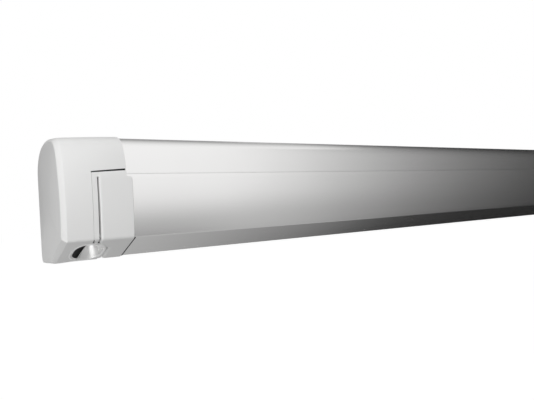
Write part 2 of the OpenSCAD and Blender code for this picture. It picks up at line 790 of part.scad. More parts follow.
module left_upper_arm_tube() color(silver) in_arm_plane("left") arm_tube(tube_start, tube_end, 0);
module right_upper_arm_tube() color(silver) in_arm_plane("right") arm_tube(tube_start, tube_end, 0);
module left_forearm_tube() color(silver) in_arm_plane("left") arm_tube(tube_start, tube_end, -arm_pitch);
module right_forearm_tube() color(silver) in_arm_plane("right") arm_tube(tube_start, tube_end, -arm_pitch);
module left_shoulder_knuckle() color(grey) in_arm_plane("left") end_knuckle(0, pin_r + pin_fit);
module right_shoulder_knuckle() color(grey) in_arm_plane("right") end_knuckle(0, pin_r + pin_fit);
module left_wrist_knuckle() color(grey) in_arm_plane("left") end_knuckle(-arm_pitch, pin_r + pin_fit);
module right_wrist_knuckle() color(grey) in_arm_plane("right") end_knuckle(-arm_pitch, pin_r + open_pin_fit);
module left_elbow_fork() color(grey) in_arm_plane("left") elbow_fork_shape();
module right_elbow_fork() color(grey) in_arm_plane("right") elbow_fork_shape();
module left_elbow_knuckle() color(grey) in_arm_plane("left") elbow_knuckle_shape();
module right_elbow_knuckle() color(grey) in_arm_plane("right") elbow_knuckle_shape();
module left_elbow_pin() color(steel) in_arm_plane("left") arm_pin(elbow, pin_r);
module right_elbow_pin() color(steel) in_arm_plane("right") arm_pin(elbow, pin_r);
module left_arm_spring() color(steel) in_arm_plane("left") arm_spring();
module right_arm_spring() color(steel) in_arm_plane("right") arm_spring();

module shoulder_pins() color(steel)
    for (side = ["left", "right"]) in_arm_plane(side) arm_pin([0, 0], pin_r);

module wrist_pins() color(steel)
    for (side = ["left", "right"]) in_arm_plane(side) arm_pin(wrist, pin_r);

// Shoulder bracket: base plate on the housing's wall and two ears round the knuckle
module shoulder_bracket(side) {
    base_l = 58;
    base_t = 2;
    difference() {
        union() {
            on_side(side) translate([from_end(shoulder_x) - base_l + ear_r, house_in_y - base_t,
                                     up(shoulder_h) - arm_h / 2])
                cube([base_l - 2 * ear_r + base_t, base_t, arm_h]);
            in_arm_plane(side) {
                ear_pair([0, 0], ear_r);
                for (z = [-arm_h / 2, ear_gap])
                    translate([-ear_r, 0, z]) cube([2 * ear_r, arm_w, arm_h / 2 - ear_gap]);
            }
        }
        on_side(side) translate([from_end(0), house_in_y, up(0)]) cube([length, cassette_d, cassette_h]);
        in_arm_plane(side) pin_hole([0, 0], pin_r);
    }
}

module left_shoulder_bracket() color(grey) shoulder_bracket("left");
module right_shoulder_bracket() color(grey) shoulder_bracket("right");

// Wrist bracket: a block on the rail's shelf with two ears round the knuckle
module wrist_bracket(side) {
    block_t = 12;
    block_y = wrist_y - eye_outer - 1 - block_t;
    difference() {
        union() {
            on_side(side) translate([from_end(shoulder_x) - ear_r - 2, block_y, up(shelf_h)])
                cube([2 * ear_r + 4, block_t, wrist_h - shelf_h + arm_h / 2 - 3]);
            in_arm_plane(side) {
                ear_pair(wrist, ear_r);
                for (z = [-arm_h / 2, ear_gap])
                    translate([-ear_r, wrist[1] - ear_r - 6, z]) cube([2 * ear_r, ear_r + 6, arm_h / 2 - ear_gap]);
            }
        }
        in_arm_plane(side) pin_hole(wrist, pin_r);
        in_arm_plane(side) translate([-2 * ear_r, wrist[1] - ear_r - 1.5, -ear_gap])
            cube([4 * ear_r, 2 * ear_r, 2 * ear_gap]);
    }
}

module left_wrist_bracket() color(grey) wrist_bracket("left");
module right_wrist_bracket() color(grey) wrist_bracket("right");

// Lead rail: front wall, sloping underside, shelf, leg bays open downwards and the keder slot
module lead_rail_section() {
    difference() {
        union() {
            difference() {
                outline(cap_proud);
                outline(cap_proud + profile_t);
                rect(bay_front_y, up(-1), 0, up(cassette_h + 1));
                rect(front_y, up(seam_low), 0, up(cassette_h + 1));
            }
            rect(rail_in_y - eps, up(shelf_h - profile_t), rail_rear_y, up(shelf_h));
            rect(rail_in_y - eps, up(seam_low - profile_t), rail_in_y + 5, up(seam_low));
            rect(bay_front_y - bay_t, up(slope_h / 2), bay_front_y, up(shelf_h));
            difference() {
                rect(bay_front_y - bay_t, up(bay_low), bay_front_y, up(slope_h / 2 + 1));
                slope_cut(cap_proud);
            }
            for (y = [rear_bay_y + bay_w / 2, rear_bay_y - bay_w / 2 - bay_t])
                rect(y, up(bay_low), y + bay_t, up(shelf_h));
            translate([keder_y, keder_z]) circle(keder_boss);
            rect(rail_in_y - eps, keder_z - keder_boss / 2, keder_y, keder_z + keder_boss / 2);
        }
        translate([keder_y, keder_z]) circle(keder_bore);
        translate([keder_y, keder_z]) rotate(arm_pitch_angle)
            rect(0, -slot_w / 2, 2 * keder_boss, slot_w / 2);
    }
}

module lead_rail() color(silver)
    difference() {
        along_x(from_end(rail_x), -from_end(rail_x)) lead_rail_section();
        rod_y(from_end(leg_x), bay_front_y - bay_t - 1, front_bay_y + bay_w / 2 + bay_t / 2,
              up(leg_mid_h), leg_pin_r);
        rod_y(-from_end(leg_x), front_bay_y + bay_w / 2 + bay_t / 2, 0, up(leg_mid_h), leg_pin_r);
    }

module keder_rope() color(white)
    rod_x(from_end(fabric_x), -from_end(fabric_x), keder_y, keder_z, keder_r);

// Rail cap: visor over the crank bell, sleeve over the rail, end wall, raised panel and its slit
module rail_region() {
    rect(front_y - 1, up(-1), bay_front_y, up(rail_cap_top));
}

module rail_cap(with_bell) {
    difference() {
        union() {
            along_x(from_end(rail_cap_x), from_end(rail_x)) difference() {
                intersection() {
                    outline(0);
                    rail_region();
                }
                outline(cap_t);
            }
            along_x(from_end(rail_x) - eps, from_end(rail_cap_l)) difference() {
                intersection() {
                    outline(0);
                    rail_region();
                }
                outline(cap_proud - cap_fit);
            }
            along_x(from_end(rail_x) - rail_wall_t, from_end(rail_x)) difference() {
                intersection() {
                    outline(cap_proud - cap_fit - eps);
                    union() {
                        rect(front_y, up(0), rail_in_y + 8, up(seam_low));
                        rect(front_y, up(bay_low), rail_rear_y, up(shelf_h));
                    }
                }
                rect(bay_front_y, up(-1), rail_rear_y + 1, up(bay_low));
            }
        }
        if (with_bell)
            translate([0, 0, up(-1)]) linear_extrude(bell_top + 1) notch_plan();
        along_x(from_end(house_x) - cap_fit, from_end(rail_x) + eps) intersection() {
            outline(cap_proud - cap_fit);
            rect(front_y, up(seam_low), rear_y, up(cassette_h));
        }
        translate([from_end(cover_l), front_y - 1, up(rail_cap_top - panel_drop)])
            cube([length, cassette_d, cassette_h]);
        translate([from_end(slit_x), front_y + slit_depth, 0]) rotate([90, 0, 0])
            linear_extrude(slit_depth + 1) polygon([
                [0, up(slope_h)], [slit_w, up(slope_h)],
                [slit_w * 0.6, up(rail_cap_top - panel_drop)], [0, up(rail_cap_top - panel_drop)]
            ]);
    }
}

module left_rail_cap() color(white) rail_cap(true);
module right_rail_cap() color(white) on_side("right") rail_cap(false);

// Legs lie along +X from their pins on the left, each in its own bay
function bay_y(side) = side == "left" ? front_bay_y : rear_bay_y;

module at_leg(side) on_side(side)
    translate([from_end(leg_x), bay_y(side), up(leg_mid_h)]) children();

module leg_pins() color(steel)
    for (side = ["left", "right"]) at_leg(side)
        rod_y(0, -bay_w / 2 - (side == "left" ? bay_t : bay_t / 2),
              bay_w / 2 + (side == "left" ? bay_t / 2 : bay_t), 0, leg_pin_r - eps);

module leg_tube(side) at_leg(side) {
    difference() {
        union() {
            rod_y(0, -leg_w / 2, leg_w / 2, 0, leg_end_r);
            translate([0, -leg_w / 2, -leg_h / 2]) cube([leg_l - 4, leg_w, leg_h]);
        }
        translate([hinge_l, -leg_w / 2 + leg_t, -leg_h / 2 + leg_t])
            cube([leg_l, leg_w - 2 * leg_t, leg_h - 2 * leg_t]);
        rod_y(0, -leg_w, leg_w, 0, leg_pin_r + pin_fit);
    }
}

module left_leg_tube() color(silver) leg_tube("left");
module right_leg_tube() color(silver) leg_tube("right");

// Clamp sleeve at the free end of the outer tube, with two ears for the lever
module leg_clamp(side) at_leg(side) {
    w = leg_w + 2 * clamp_t;
    h = leg_h + 2 * clamp_t;
    ear_drop = lever_t + soft_gap;
    difference() {
        union() {
            translate([leg_l - clamp_l, -w / 2, -h / 2]) cube([clamp_l, w, h]);
            for (s = [-1, 1])
                translate([lever_x - 4, s * (lever_neck / 2 + soft_gap + 1.5) - 1.5, -h / 2 - ear_drop])
                    cube([8, 3, ear_drop + eps]);
        }
        translate([leg_l - clamp_l - 1, -leg_w / 2, -leg_h / 2]) cube([clamp_l - 3, leg_w, leg_h]);
        translate([leg_l - clamp_l - 1, -inner_w / 2 - leg_fit, -inner_h / 2 - leg_fit])
            cube([clamp_l + 2, inner_w + 2 * leg_fit, inner_h + 2 * leg_fit]);
        rod_y(lever_x, -w, w, lever_mid_h - leg_mid_h, lever_pin_r + pin_fit);
    }
}

module left_leg_clamp() color(dark) leg_clamp("left");
module right_leg_clamp() color(dark) leg_clamp("right");

module clamp_lever(side) at_leg(side) {
    w = leg_w + 2 * clamp_t;
    z = lever_mid_h - leg_mid_h;
    ear_out = lever_neck / 2 + soft_gap + 3;
    rod_y(lever_x, -ear_out, ear_out, z, lever_pin_r);
    rod_y(lever_x, -lever_neck / 2, lever_neck / 2, z, lever_t / 2);
    translate([lever_x - 8, -lever_neck / 2, z - lever_t / 2]) cube([8, lever_neck, lever_t]);
    translate([lever_x - lever_l, -w / 2, z - lever_t / 2]) cube([lever_l - 6, w, lever_t]);
}

module left_clamp_lever() color(dark) clamp_lever("left");
module right_clamp_lever() color(dark) clamp_lever("right");

// Inner leg tube with the lug that carries the foot
module inner_leg(side) at_leg(side) {
    difference() {
        union() {
            translate([inner_start, -inner_w / 2, -inner_h / 2]) cube([foot_x - foot_r - inner_start - 1, inner_w, inner_h]);
            translate([foot_x - foot_r - 2, -lug_w / 2, -foot_pin_r - 3]) cube([foot_r + 2, lug_w, 2 * foot_pin_r + 6]);
            rod_y(foot_x, -lug_w / 2, lug_w / 2, 0, foot_pin_r + 3);
        }
        translate([inner_start - 1, -inner_w / 2 + leg_t, -inner_h / 2 + leg_t])
            cube([foot_x - foot_r - inner_start - 10, inner_w - 2 * leg_t, inner_h - 2 * leg_t]);
        rod_y(foot_x, -lug_w, lug_w, 0, foot_pin_r + pin_fit);
    }
}

module left_inner_leg() color(silver) inner_leg("left");
module right_inner_leg() color(silver) inner_leg("right");

// Foot: fork and pin on the lug, and a sole that folds square to the leg
module foot(side) at_leg(side) {
    w = leg_w + 1;
    difference() {
        union() {
            rod_y(foot_x, -w / 2, w / 2, 0, foot_r - 0.5);
            translate([foot_x, -w / 2, foot_r - 0.5 - foot_t]) cube([foot_l, w, foot_t]);
        }
        translate([foot_x - foot_r - 1, -lug_w / 2 - foot_gap, -foot_r - 1])
            cube([foot_r + foot_pin_r + 4.5, lug_w + 2 * foot_gap, 2 * foot_r + 2]);
    }
    rod_y(foot_x, -w / 2, w / 2, 0, foot_pin_r);
}

module left_foot() color(dark) foot("left");
module right_foot() color(dark) foot("right");

housing();
left_end_cap();
right_end_cap();
left_end_plate();
right_end_plate();
end_plate_screws();
left_wall_bracket();
centre_wall_bracket();
right_wall_bracket();
wall_seal();
gear_case();
gear_cover();
drive_bush();
idle_bush();
left_shoulder_bracket();
right_shoulder_bracket();
shoulder_pins();
roller_tube();
fabric_roll();
drive_shaft();
idle_plug();
worm_wheel();
worm();
crank_shaft();
canopy_fabric();
left_upper_arm_tube();
left_shoulder_knuckle();
left_elbow_fork();
left_elbow_pin();
left_arm_spring();
left_forearm_tube();
left_elbow_knuckle();
left_wrist_knuckle();
right_upper_arm_tube();
right_shoulder_knuckle();
right_elbow_fork();
right_elbow_pin();
right_arm_spring();
right_forearm_tube();
right_elbow_knuckle();
right_wrist_knuckle();
lead_rail();
left_rail_cap();
right_rail_cap();
keder_rope();
left_wrist_bracket();
right_wrist_bracket();
wrist_pins();
leg_pins();
left_leg_tube();
left_leg_clamp();
left_clamp_lever();
left_inner_leg();
left_foot();
right_leg_tube();
right_leg_clamp();
right_clamp_lever();
right_inner_leg();
right_foot();
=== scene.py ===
"""Looks of the roll-out cassette awning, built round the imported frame."""
import json
from math import acos, asin, atan2, cos, degrees, exp, pi, radians, sin, sqrt, tan

import bmesh
import bpy
from mathutils import Matrix, Vector


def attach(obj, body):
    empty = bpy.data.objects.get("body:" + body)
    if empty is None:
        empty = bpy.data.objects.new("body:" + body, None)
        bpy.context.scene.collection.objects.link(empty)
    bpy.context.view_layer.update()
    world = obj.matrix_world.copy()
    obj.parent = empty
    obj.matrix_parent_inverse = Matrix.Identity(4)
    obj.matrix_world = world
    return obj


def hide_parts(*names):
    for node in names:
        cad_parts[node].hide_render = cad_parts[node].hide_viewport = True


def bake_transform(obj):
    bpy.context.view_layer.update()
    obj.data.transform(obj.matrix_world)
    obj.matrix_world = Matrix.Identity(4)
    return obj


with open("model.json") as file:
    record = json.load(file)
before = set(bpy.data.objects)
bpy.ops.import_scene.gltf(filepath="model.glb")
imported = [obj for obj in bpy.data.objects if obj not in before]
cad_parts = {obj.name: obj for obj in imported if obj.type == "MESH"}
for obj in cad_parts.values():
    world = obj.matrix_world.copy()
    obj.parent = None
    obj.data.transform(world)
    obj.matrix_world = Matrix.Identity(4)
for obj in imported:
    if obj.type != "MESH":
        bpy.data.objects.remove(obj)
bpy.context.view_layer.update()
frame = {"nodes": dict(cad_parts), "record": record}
nodes = frame["nodes"]
scene = bpy.context.scene

scene.view_settings.view_transform = "Standard"

MM = 0.001
JOIN_DISTANCE = 1e-6
NEAR = 0.01

# Photograph's camera: a level view from the left, turned towards the right end, with a slight roll
PHOTO_W = 534
FOCAL_PX = 550
SENSOR_W = 36
CLIP_START = 0.01
CAMERA_AT = (-1.0899, -0.6337, 0.0054)
HEADING = radians(35.056)
ROLL = radians(-2.632)


def add_camera():
    data = bpy.data.cameras.new("photo_camera")
    data.sensor_fit = "HORIZONTAL"
    data.sensor_width = SENSOR_W
    data.lens = SENSOR_W * FOCAL_PX / PHOTO_W
    data.clip_start = CLIP_START
    camera = bpy.data.objects.new("photo_camera", data)
    turn = Matrix.Rotation(-HEADING, 4, "Z") @ Matrix.Rotation(pi / 2, 4, "X")
    camera.matrix_world = Matrix.Translation(CAMERA_AT) @ turn @ Matrix.Rotation(ROLL, 4, "Z")
    scene.collection.objects.link(camera)
    scene.camera = camera


# Materials

NOISE_LOW = 0.25
NOISE_HIGH = 0.75


class Graph:
    """Short way to write a material's, a world's or a modifier's nodes."""

    def __init__(self, tree):
        self.tree = tree

    def add(self, kind, inputs=None, **settings):
        node = self.tree.nodes.new(kind)
        for key, value in settings.items():
            setattr(node, key, value)
        for key, value in (inputs or {}).items():
            if isinstance(value, bpy.types.NodeSocket):
                self.link(value, node, key)
            else:
                node.inputs[key].default_value = value
        return node

    def link(self, value, node, key):
        self.tree.links.new(value, node.inputs[key])


def new_material(name, **values):
    """Material with a Principled shader, its values set on the shader's own sockets."""
    material = bpy.data.materials.new(name)
    material.use_nodes = True
    shader = material.node_tree.nodes["Principled BSDF"]
    for key, value in values.items():
        shader.inputs[key].default_value = value
    return material, Graph(material.node_tree), shader


def noise(graph, scale, stretch=(1, 1, 1), detail=4.0):
    where = graph.add("ShaderNodeTexCoord").outputs["Object"]
    mapped = graph.add("ShaderNodeMapping", {"Vector": where, "Scale": stretch}).outputs["Vector"]
    inputs = {"Vector": mapped, "Scale": scale, "Detail": detail}
    return graph.add("ShaderNodeTexNoise", inputs).outputs["Fac"]


def soft_step(graph, value, low, high, at_low, at_high, kind="SMOOTHSTEP"):
    inputs = {"Value": value, "From Min": low, "From Max": high, "To Min": at_low, "To Max": at_high}
    return graph.add("ShaderNodeMapRange", inputs, interpolation_type=kind).outputs["Result"]


def to_range(graph, value, low, high):
    """Spread a noise's usual values over a range."""
    return soft_step(graph, value, NOISE_LOW, NOISE_HIGH, low, high, "LINEAR")


def calculate(graph, operation, *values):
    return graph.add("ShaderNodeMath", dict(enumerate(values)), operation=operation).outputs["Value"]


def tint(graph, factor, dark, light):
    """Mix of two colours, the first of which may be another node's result."""
    first = dark if isinstance(dark, bpy.types.NodeSocket) else (*dark, 1)
    inputs = {"Factor": factor, "A": first, "B": (*light, 1)}
    return graph.add("ShaderNodeMix", inputs, data_type="RGBA").outputs["Result"]


def bump(graph, shader, height, strength, distance):
    node = graph.add("ShaderNodeBump", {"Height": height, "Strength": strength, "Distance": distance})
    graph.link(node.outputs["Normal"], shader, "Normal")


def mottled(name, dark, light, rough, metallic, cloud_scale, grain, strength, distance):
    """Finish whose colour and roughness vary together, over a fine grain."""
    material, graph, shader = new_material(name, Metallic=metallic)
    cloud = noise(graph, cloud_scale)
    graph.link(tint(graph, cloud, dark, light), shader, "Base Color")
    graph.link(to_range(graph, cloud, *rough), shader, "Roughness")
    bump(graph, shader, noise(graph, **grain), strength, distance)
    return material


def anodised_aluminium():
    """Satin silver anodising with the faint drawn lines of an extrusion along its length."""
    material, graph, shader = new_material("anodised_aluminium", Metallic=1.0)
    lines = noise(graph, scale=1.0, stretch=(1.0, 1400.0, 1400.0), detail=3.0)
    cloud = noise(graph, scale=9.0)
    graph.link(tint(graph, cloud, (0.85, 0.845, 0.84), (0.90, 0.895, 0.89)), shader, "Base Color")
    graph.link(to_range(graph, lines, 0.235, 0.265), shader, "Roughness")
    bump(graph, shader, lines, strength=0.006, distance=0.0002)
    return material


def moulded_plastic(name, dark, light, rough, metallic=0.0):
    """Light moulding with a very fine grain and a slightly uneven gloss."""
    return mottled(name, dark, light, rough, metallic, cloud_scale=14.0,
                   grain={"scale": 700.0, "detail": 1.0}, strength=0.015, distance=0.0002)


def coated_metal(name, dark, light):
    """Powder coat or casting: a fine orange-peel grain over a slightly uneven grey."""
    return mottled(name, dark, light, (0.42, 0.58), 0.0, cloud_scale=30.0, grain={"scale": 700.0},
                   strength=0.15, distance=0.0003)


def bare_metal(name, dark, light, rough):
    """Zinc plated steel or brass with turning marks and light staining."""
    return mottled(name, dark, light, rough, 1.0, cloud_scale=120.0, grain={"scale": 900.0},
                   strength=0.05, distance=0.0002)


def black_moulding(name, shade, rough, strength):
    """Rubber or dark plastic with a fine grain."""
    dark = (shade, shade, shade * 1.05)
    light = (shade * 1.6, shade * 1.6, shade * 1.65)
    return mottled(name, dark, light, rough, 0.0, cloud_scale=60.0, grain={"scale": 1200.0},
                   strength=strength, distance=0.0003)


# Seams of the cloth, in metres from the middle of the awning
HEM_X = 0.846
HEM_SOFT = 0.001
SEAM_X = 0.289
SEAM_HALF = 0.010
SEAM_SOFT = 0.0005
STITCH_HALF = 0.007
STITCH_ROW = (0.0004, 0.0008)
STITCH_SCALE = 80.0
STITCH_GAP = (0.25, 0.4)
THREAD_SCALE = 260.0
THREAD_WOBBLE = 0.6
WEAVE_TINT = 0.75
WEAVE_HEIGHT = 0.4
DOUBLED_TINT = 0.45


def woven_cloth():
    """Coated awning cloth: a fine plain weave, hemmed at its sides and sewn from three widths."""
    material, graph, shader = new_material("woven_cloth", Roughness=0.75)
    where = graph.add("ShaderNodeTexCoord").outputs["Object"]

    def wave(scale, direction, distortion=0.0):
        inputs = {"Vector": where, "Scale": scale, "Distortion": distortion}
        return graph.add("ShaderNodeTexWave", inputs, bands_direction=direction).outputs["Fac"]

    def distance(value, mark):
        return calculate(graph, "ABSOLUTE", calculate(graph, "SUBTRACT", value, mark))

    threads = [wave(THREAD_SCALE, direction, THREAD_WOBBLE) for direction in ("X", "Y")]
    weave = calculate(graph, "MULTIPLY", *threads)
    spread = graph.add("ShaderNodeSeparateXYZ", {"Vector": where}).outputs
    across = calculate(graph, "ABSOLUTE", spread["X"])
    hem = soft_step(graph, across, HEM_X - HEM_SOFT, HEM_X + HEM_SOFT, 0.0, 1.0)
    off_seam = distance(across, SEAM_X)
    seam = soft_step(graph, off_seam, SEAM_HALF - SEAM_SOFT, SEAM_HALF + SEAM_SOFT, 1.0, 0.0)
    doubled = calculate(graph, "MAXIMUM", hem, seam)
    row = soft_step(graph, distance(off_seam, STITCH_HALF), *STITCH_ROW, 1.0, 0.0)
    dashes = soft_step(graph, wave(STITCH_SCALE, "Y"), *STITCH_GAP, 0.0, 1.0)
    stitch = calculate(graph, "MULTIPLY", row, dashes)
    cloud = to_range(graph, noise(graph, scale=6.0), 0.0, 0.25)
    shade = calculate(graph, "ADD", calculate(graph, "MULTIPLY", weave, WEAVE_TINT), cloud)
    plain = tint(graph, shade, (0.36, 0.385, 0.42), (0.47, 0.50, 0.535))
    darker = calculate(graph, "MULTIPLY", doubled, DOUBLED_TINT)
    layered = tint(graph, darker, plain, (0.27, 0.29, 0.325))
    graph.link(tint(graph, stitch, layered, (0.62, 0.64, 0.66)), shader, "Base Color")
    raised = calculate(graph, "ADD", doubled, stitch)
    height = calculate(graph, "ADD", calculate(graph, "MULTIPLY", weave, WEAVE_HEIGHT), raised)
    bump(graph, shader, height, strength=0.3, distance=0.0006)
    return material


materials = {
    "anodised": anodised_aluminium(),
    "cap_plastic": moulded_plastic("cap_plastic", (0.73, 0.73, 0.725), (0.77, 0.77, 0.765), (0.34, 0.42)),
    "cast_metal": coated_metal("cast_metal", (0.36, 0.37, 0.385), (0.44, 0.45, 0.465)),
    "bracket_metal": coated_metal("bracket_metal", (0.28, 0.29, 0.305), (0.34, 0.35, 0.365)),
    "steel": bare_metal("zinc_steel", (0.46, 0.47, 0.49), (0.60, 0.61, 0.62), (0.28, 0.44)),
    "brass": bare_metal("brass", (0.50, 0.36, 0.13), (0.66, 0.50, 0.22), (0.25, 0.42)),
    "rubber": black_moulding("rubber", 0.018, (0.6, 0.8), 0.2),
    "cloth": woven_cloth(),
    "dark_plastic": black_moulding("dark_plastic", 0.03, (0.4, 0.6), 0.1),
    # Paler, half-metallic copy of the cap's plastic for the mouth's cup and lip; the extra paleness is
    # painted light where the lamps reach little into the mouth
    "painted_light_cup_plastic": moulded_plastic("painted_light_cup_plastic", (0.90, 0.90, 0.895), (0.94, 0.94, 0.935), (0.37, 0.43),
                                   metallic=0.45),
    "sleeve_plastic": black_moulding("sleeve_plastic", 0.07, (0.4, 0.6), 0.1),
}

CAD_SMOOTH_ANGLE = radians(32)


def smooth_shading_nodes(angle):
    """Geometry nodes that join a mesh's doubled points and shade it smooth up to an angle."""
    tree = bpy.data.node_groups.new("smooth_shading", "GeometryNodeTree")
    tree.interface.new_socket("Geometry", in_out="INPUT", socket_type="NodeSocketGeometry")
    tree.interface.new_socket("Geometry", in_out="OUTPUT", socket_type="NodeSocketGeometry")
    graph = Graph(tree)
    start = graph.add("NodeGroupInput").outputs[0]
    joined = graph.add("GeometryNodeMergeByDistance", {"Geometry": start, "Distance": JOIN_DISTANCE})
    round_faces = graph.add("GeometryNodeSetShadeSmooth",
                            {"Geometry": joined.outputs["Geometry"], "Shade Smooth": True})
    turn = graph.add("GeometryNodeInputMeshEdgeAngle").outputs["Unsigned Angle"]
    flat_enough = graph.add("FunctionNodeCompare", {"A": turn, "B": angle}, data_type="FLOAT",
                            operation="LESS_EQUAL").outputs["Result"]
    soft_edges = graph.add("GeometryNodeSetShadeSmooth",
                           {"Geometry": round_faces.outputs[0], "Shade Smooth": flat_enough}, domain="EDGE")
    graph.add("NodeGroupOutput", {"Geometry": soft_edges.outputs[0]})
    return tree


def dress_cad_nodes():
    """Give every CAD node the material of its slot and smooth shading between soft angles."""
    shading = smooth_shading_nodes(CAD_SMOOTH_ANGLE)
    for row in frame["record"]["subparts"]:
        node = nodes[row["node"]]
        node.data.materials.clear()
        node.data.materials.append(materials[row["material_slot"]])
        node.modifiers.new("shading", "NODES").node_group = shading


# Sizes in millimetres, as in the part's source: heights from the bolt line, lengths e from the box's end
HALF_L = 950.0
FRONT_Y = -93.0
REAR_Y = -1.0
TOP_Z = 79.4
BOTTOM_Z = -50.0
SLOPE_TOP_Z = -27.0
SLOPE_BACK_Y = -44.0
FRONT_TOP_R = 28.0
REAR_TOP_R = 38.0
REAR_BOTTOM_R = 10.0
CAP_BOTTOM_R = 11.5
FRONT_TOP = (FRONT_Y + FRONT_TOP_R, TOP_Z - FRONT_TOP_R)
REAR_TOP = (REAR_Y - REAR_TOP_R, TOP_Z - REAR_TOP_R)
REAR_BOTTOM = (REAR_Y - REAR_BOTTOM_R, BOTTOM_Z + REAR_BOTTOM_R)
CAP_BOTTOM = (REAR_Y - CAP_BOTTOM_R, BOTTOM_Z + CAP_BOTTOM_R)
TILT = atan2(SLOPE_TOP_Z - BOTTOM_Z, SLOPE_BACK_Y - FRONT_Y)
TILT_DEG = degrees(TILT)
PROFILE_T = 2.0
EDGE_R = 3.5
EDGE_LEAST_R = 0.5
EDGE_STEPS = 6
KEEL_R = 13.0
BOW = 2.0
BOW_MID_Z = (FRONT_TOP[1] + SLOPE_TOP_Z) / 2
BOW_HALF = (FRONT_TOP[1] - SLOPE_TOP_Z) / 2
COVER_LOW_Z = 42.5
SPLIT_RISE = 0.054
SKIRT_E = 30.6
COVER_E = 66.4
COVER_SHORT = 1.2
CRANK_E = 31.0
CRANK_Y = -69.6
CRANK_BACK_Y = -62.4
MOUTH_R = 15.0
LAND_MID = (47.1, -67.6)
SHELF_TOP_Z = -23.5
SHELF_BACK_Y = -15.3
BAY_FRONT_Y = -46.9
BAY_LOW_Z = -47.0
RAIL_FRONT_IN = 1.6
RAIL_SLOPE_IN = 0.8
RAIL_EDGE_R = 1.6


def clamp(value, low=0.0, high=1.0):
    return max(low, min(high, value))


def mix(a, b, share):
    return a + (b - a) * share


def ramp(value, start, stop):
    """0 at start, 1 at stop and a straight run between them; stop may be the lower one."""
    return clamp((value - start) / (stop - start))


def smooth(value, start, stop):
    """0 at start, 1 at stop and a soft step between them."""
    t = ramp(value, start, stop)
    return t * t * (3 - 2 * t)


def rounding(t):
    """Height of a quarter round, from 0 at its foot to 1 at its top."""
    t = clamp(t)
    return sqrt(1 - (1 - t) ** 2)


def round_reach(e, radius, mid):
    """Half the width of a circle at e."""
    return sqrt(max(radius ** 2 - (e - mid) ** 2, 0.0))


def bow(y, z):
    """How far the gently curved front face lies behind a flat one."""
    if z > FRONT_TOP[1]:
        t = clamp((z - FRONT_TOP[1]) / FRONT_TOP_R)
        fade = 2 * t ** 3 - 3 * t ** 2 + 1
        run_out = t ** 3 - 2 * t ** 2 + t
        back = BOW * fade + 2 * BOW / BOW_HALF * FRONT_TOP_R * run_out
    elif z > SLOPE_TOP_Z:
        back = BOW * ((z - BOW_MID_Z) / BOW_HALF) ** 2
    else:
        back = BOW * (z - BOTTOM_Z) / (SLOPE_TOP_Z - BOTTOM_Z)
    return back * ramp(y, REAR_TOP[0], FRONT_TOP[0])


def place(e, y, z):
    """Point of the left end in metres, with the front's curve added."""
    return Vector((e - HALF_L, y + bow(y, z), z)) * MM


def split_z(e):
    """Lower edge of the cover over the roof, which rises a little away from the end."""
    return COVER_LOW_Z + SPLIT_RISE * max(e - SKIRT_E, 0.0)


def slope_z(y, inset=0.0):
    """Height of the sloping underside, drawn in by an inset."""
    return SLOPE_TOP_Z + (inset - (y - FRONT_Y) * sin(TILT)) / cos(TILT)


def spaced(start, stop, steps):
    return [start + (stop - start) * i / steps for i in range(steps + 1)]


def arc(centre, radius, start, stop, steps):
    """Points of a round between two angles in degrees."""
    angles = [radians(a) for a in spaced(start, stop, steps)]
    return [(centre[0] + radius * cos(a), centre[1] + radius * sin(a)) for a in angles]


def line(a, b, steps):
    return list(zip(spaced(a[0], b[0], steps), spaced(a[1], b[1], steps)))


def edge_arc(inset, radius, steps, slope_inset=None):
    """Rounded edge between the slope and the front."""
    front = FRONT_Y + inset
    corner_z = slope_z(front, inset if slope_inset is None else slope_inset)
    reach = radius * tan((pi / 2 - TILT) / 2)
    return arc((front + radius, corner_z + reach), radius, 270 - TILT_DEG, 180, steps)


def band_faces(a, b):
    """Faces between two closed rings, given by their points' numbers."""
    n = len(a)
    return [(a[j], a[(j + 1) % n], b[(j + 1) % n], b[j]) for j in range(n)]


def grid_faces(columns, count, closed=True, kept=None):
    """Faces between neighbouring columns of points, each column a closed ring or an open row."""
    faces = []
    for i in range(columns - 1):
        for j in range(count if closed else count - 1):
            if kept and not kept(i, j):
                continue
            k = (j + 1) % count
            faces.append((i * count + j, i * count + k, (i + 1) * count + k, (i + 1) * count + j))
    return faces


def prism_faces(columns, count):
    """Closed body through columns of points."""
    last = (columns - 1) * count
    return [tuple(range(count)), tuple(range(last, last + count))] + grid_faces(columns, count)


def new_piece(name, verts, faces, material):
    """Cleaned and smoothly shaded mesh object. Its slot holds the given material."""
    mesh = bpy.data.meshes.new(name)
    mesh.from_pydata(verts, [], faces)
    mesh.validate()
    build = bmesh.new()
    build.from_mesh(mesh)
    bmesh.ops.remove_doubles(build, verts=build.verts, dist=JOIN_DISTANCE)
    loose = [v for v in build.verts if not v.link_faces]
    bmesh.ops.delete(build, geom=loose, context="VERTS")
    bmesh.ops.recalc_face_normals(build, faces=build.faces)
    build.to_mesh(mesh)
    build.free()
    mesh.shade_smooth()
    mesh.materials.append(materials[material])
    piece = bpy.data.objects.new(name, mesh)
    scene.collection.objects.link(piece)
    return piece


def on_side(side, verts):
    """Points of the left end as they are, or mirrored for the right end."""
    if side == "left":
        return verts
    return [Vector((-v.x, v.y, v.z)) for v in verts]


def soften(piece, edge):
    """Round a piece's sharp edges."""
    bevel = piece.modifiers.new("edges", "BEVEL")
    bevel.width = edge * MM
    bevel.segments = 3
    bevel.limit_method = "ANGLE"
    bevel.angle_limit = radians(40)
    normals = piece.modifiers.new("normals", "WEIGHTED_NORMAL")
    normals.keep_sharp = True


def thicken(piece, thickness, edge, even=True):
    """Wall of a moulding with softly rounded edges."""
    wall = piece.modifiers.new("wall", "SOLIDIFY")
    wall.thickness = thickness * MM
    wall.offset = -1.0
    wall.use_even_offset = even
    soften(piece, edge)


# End caps

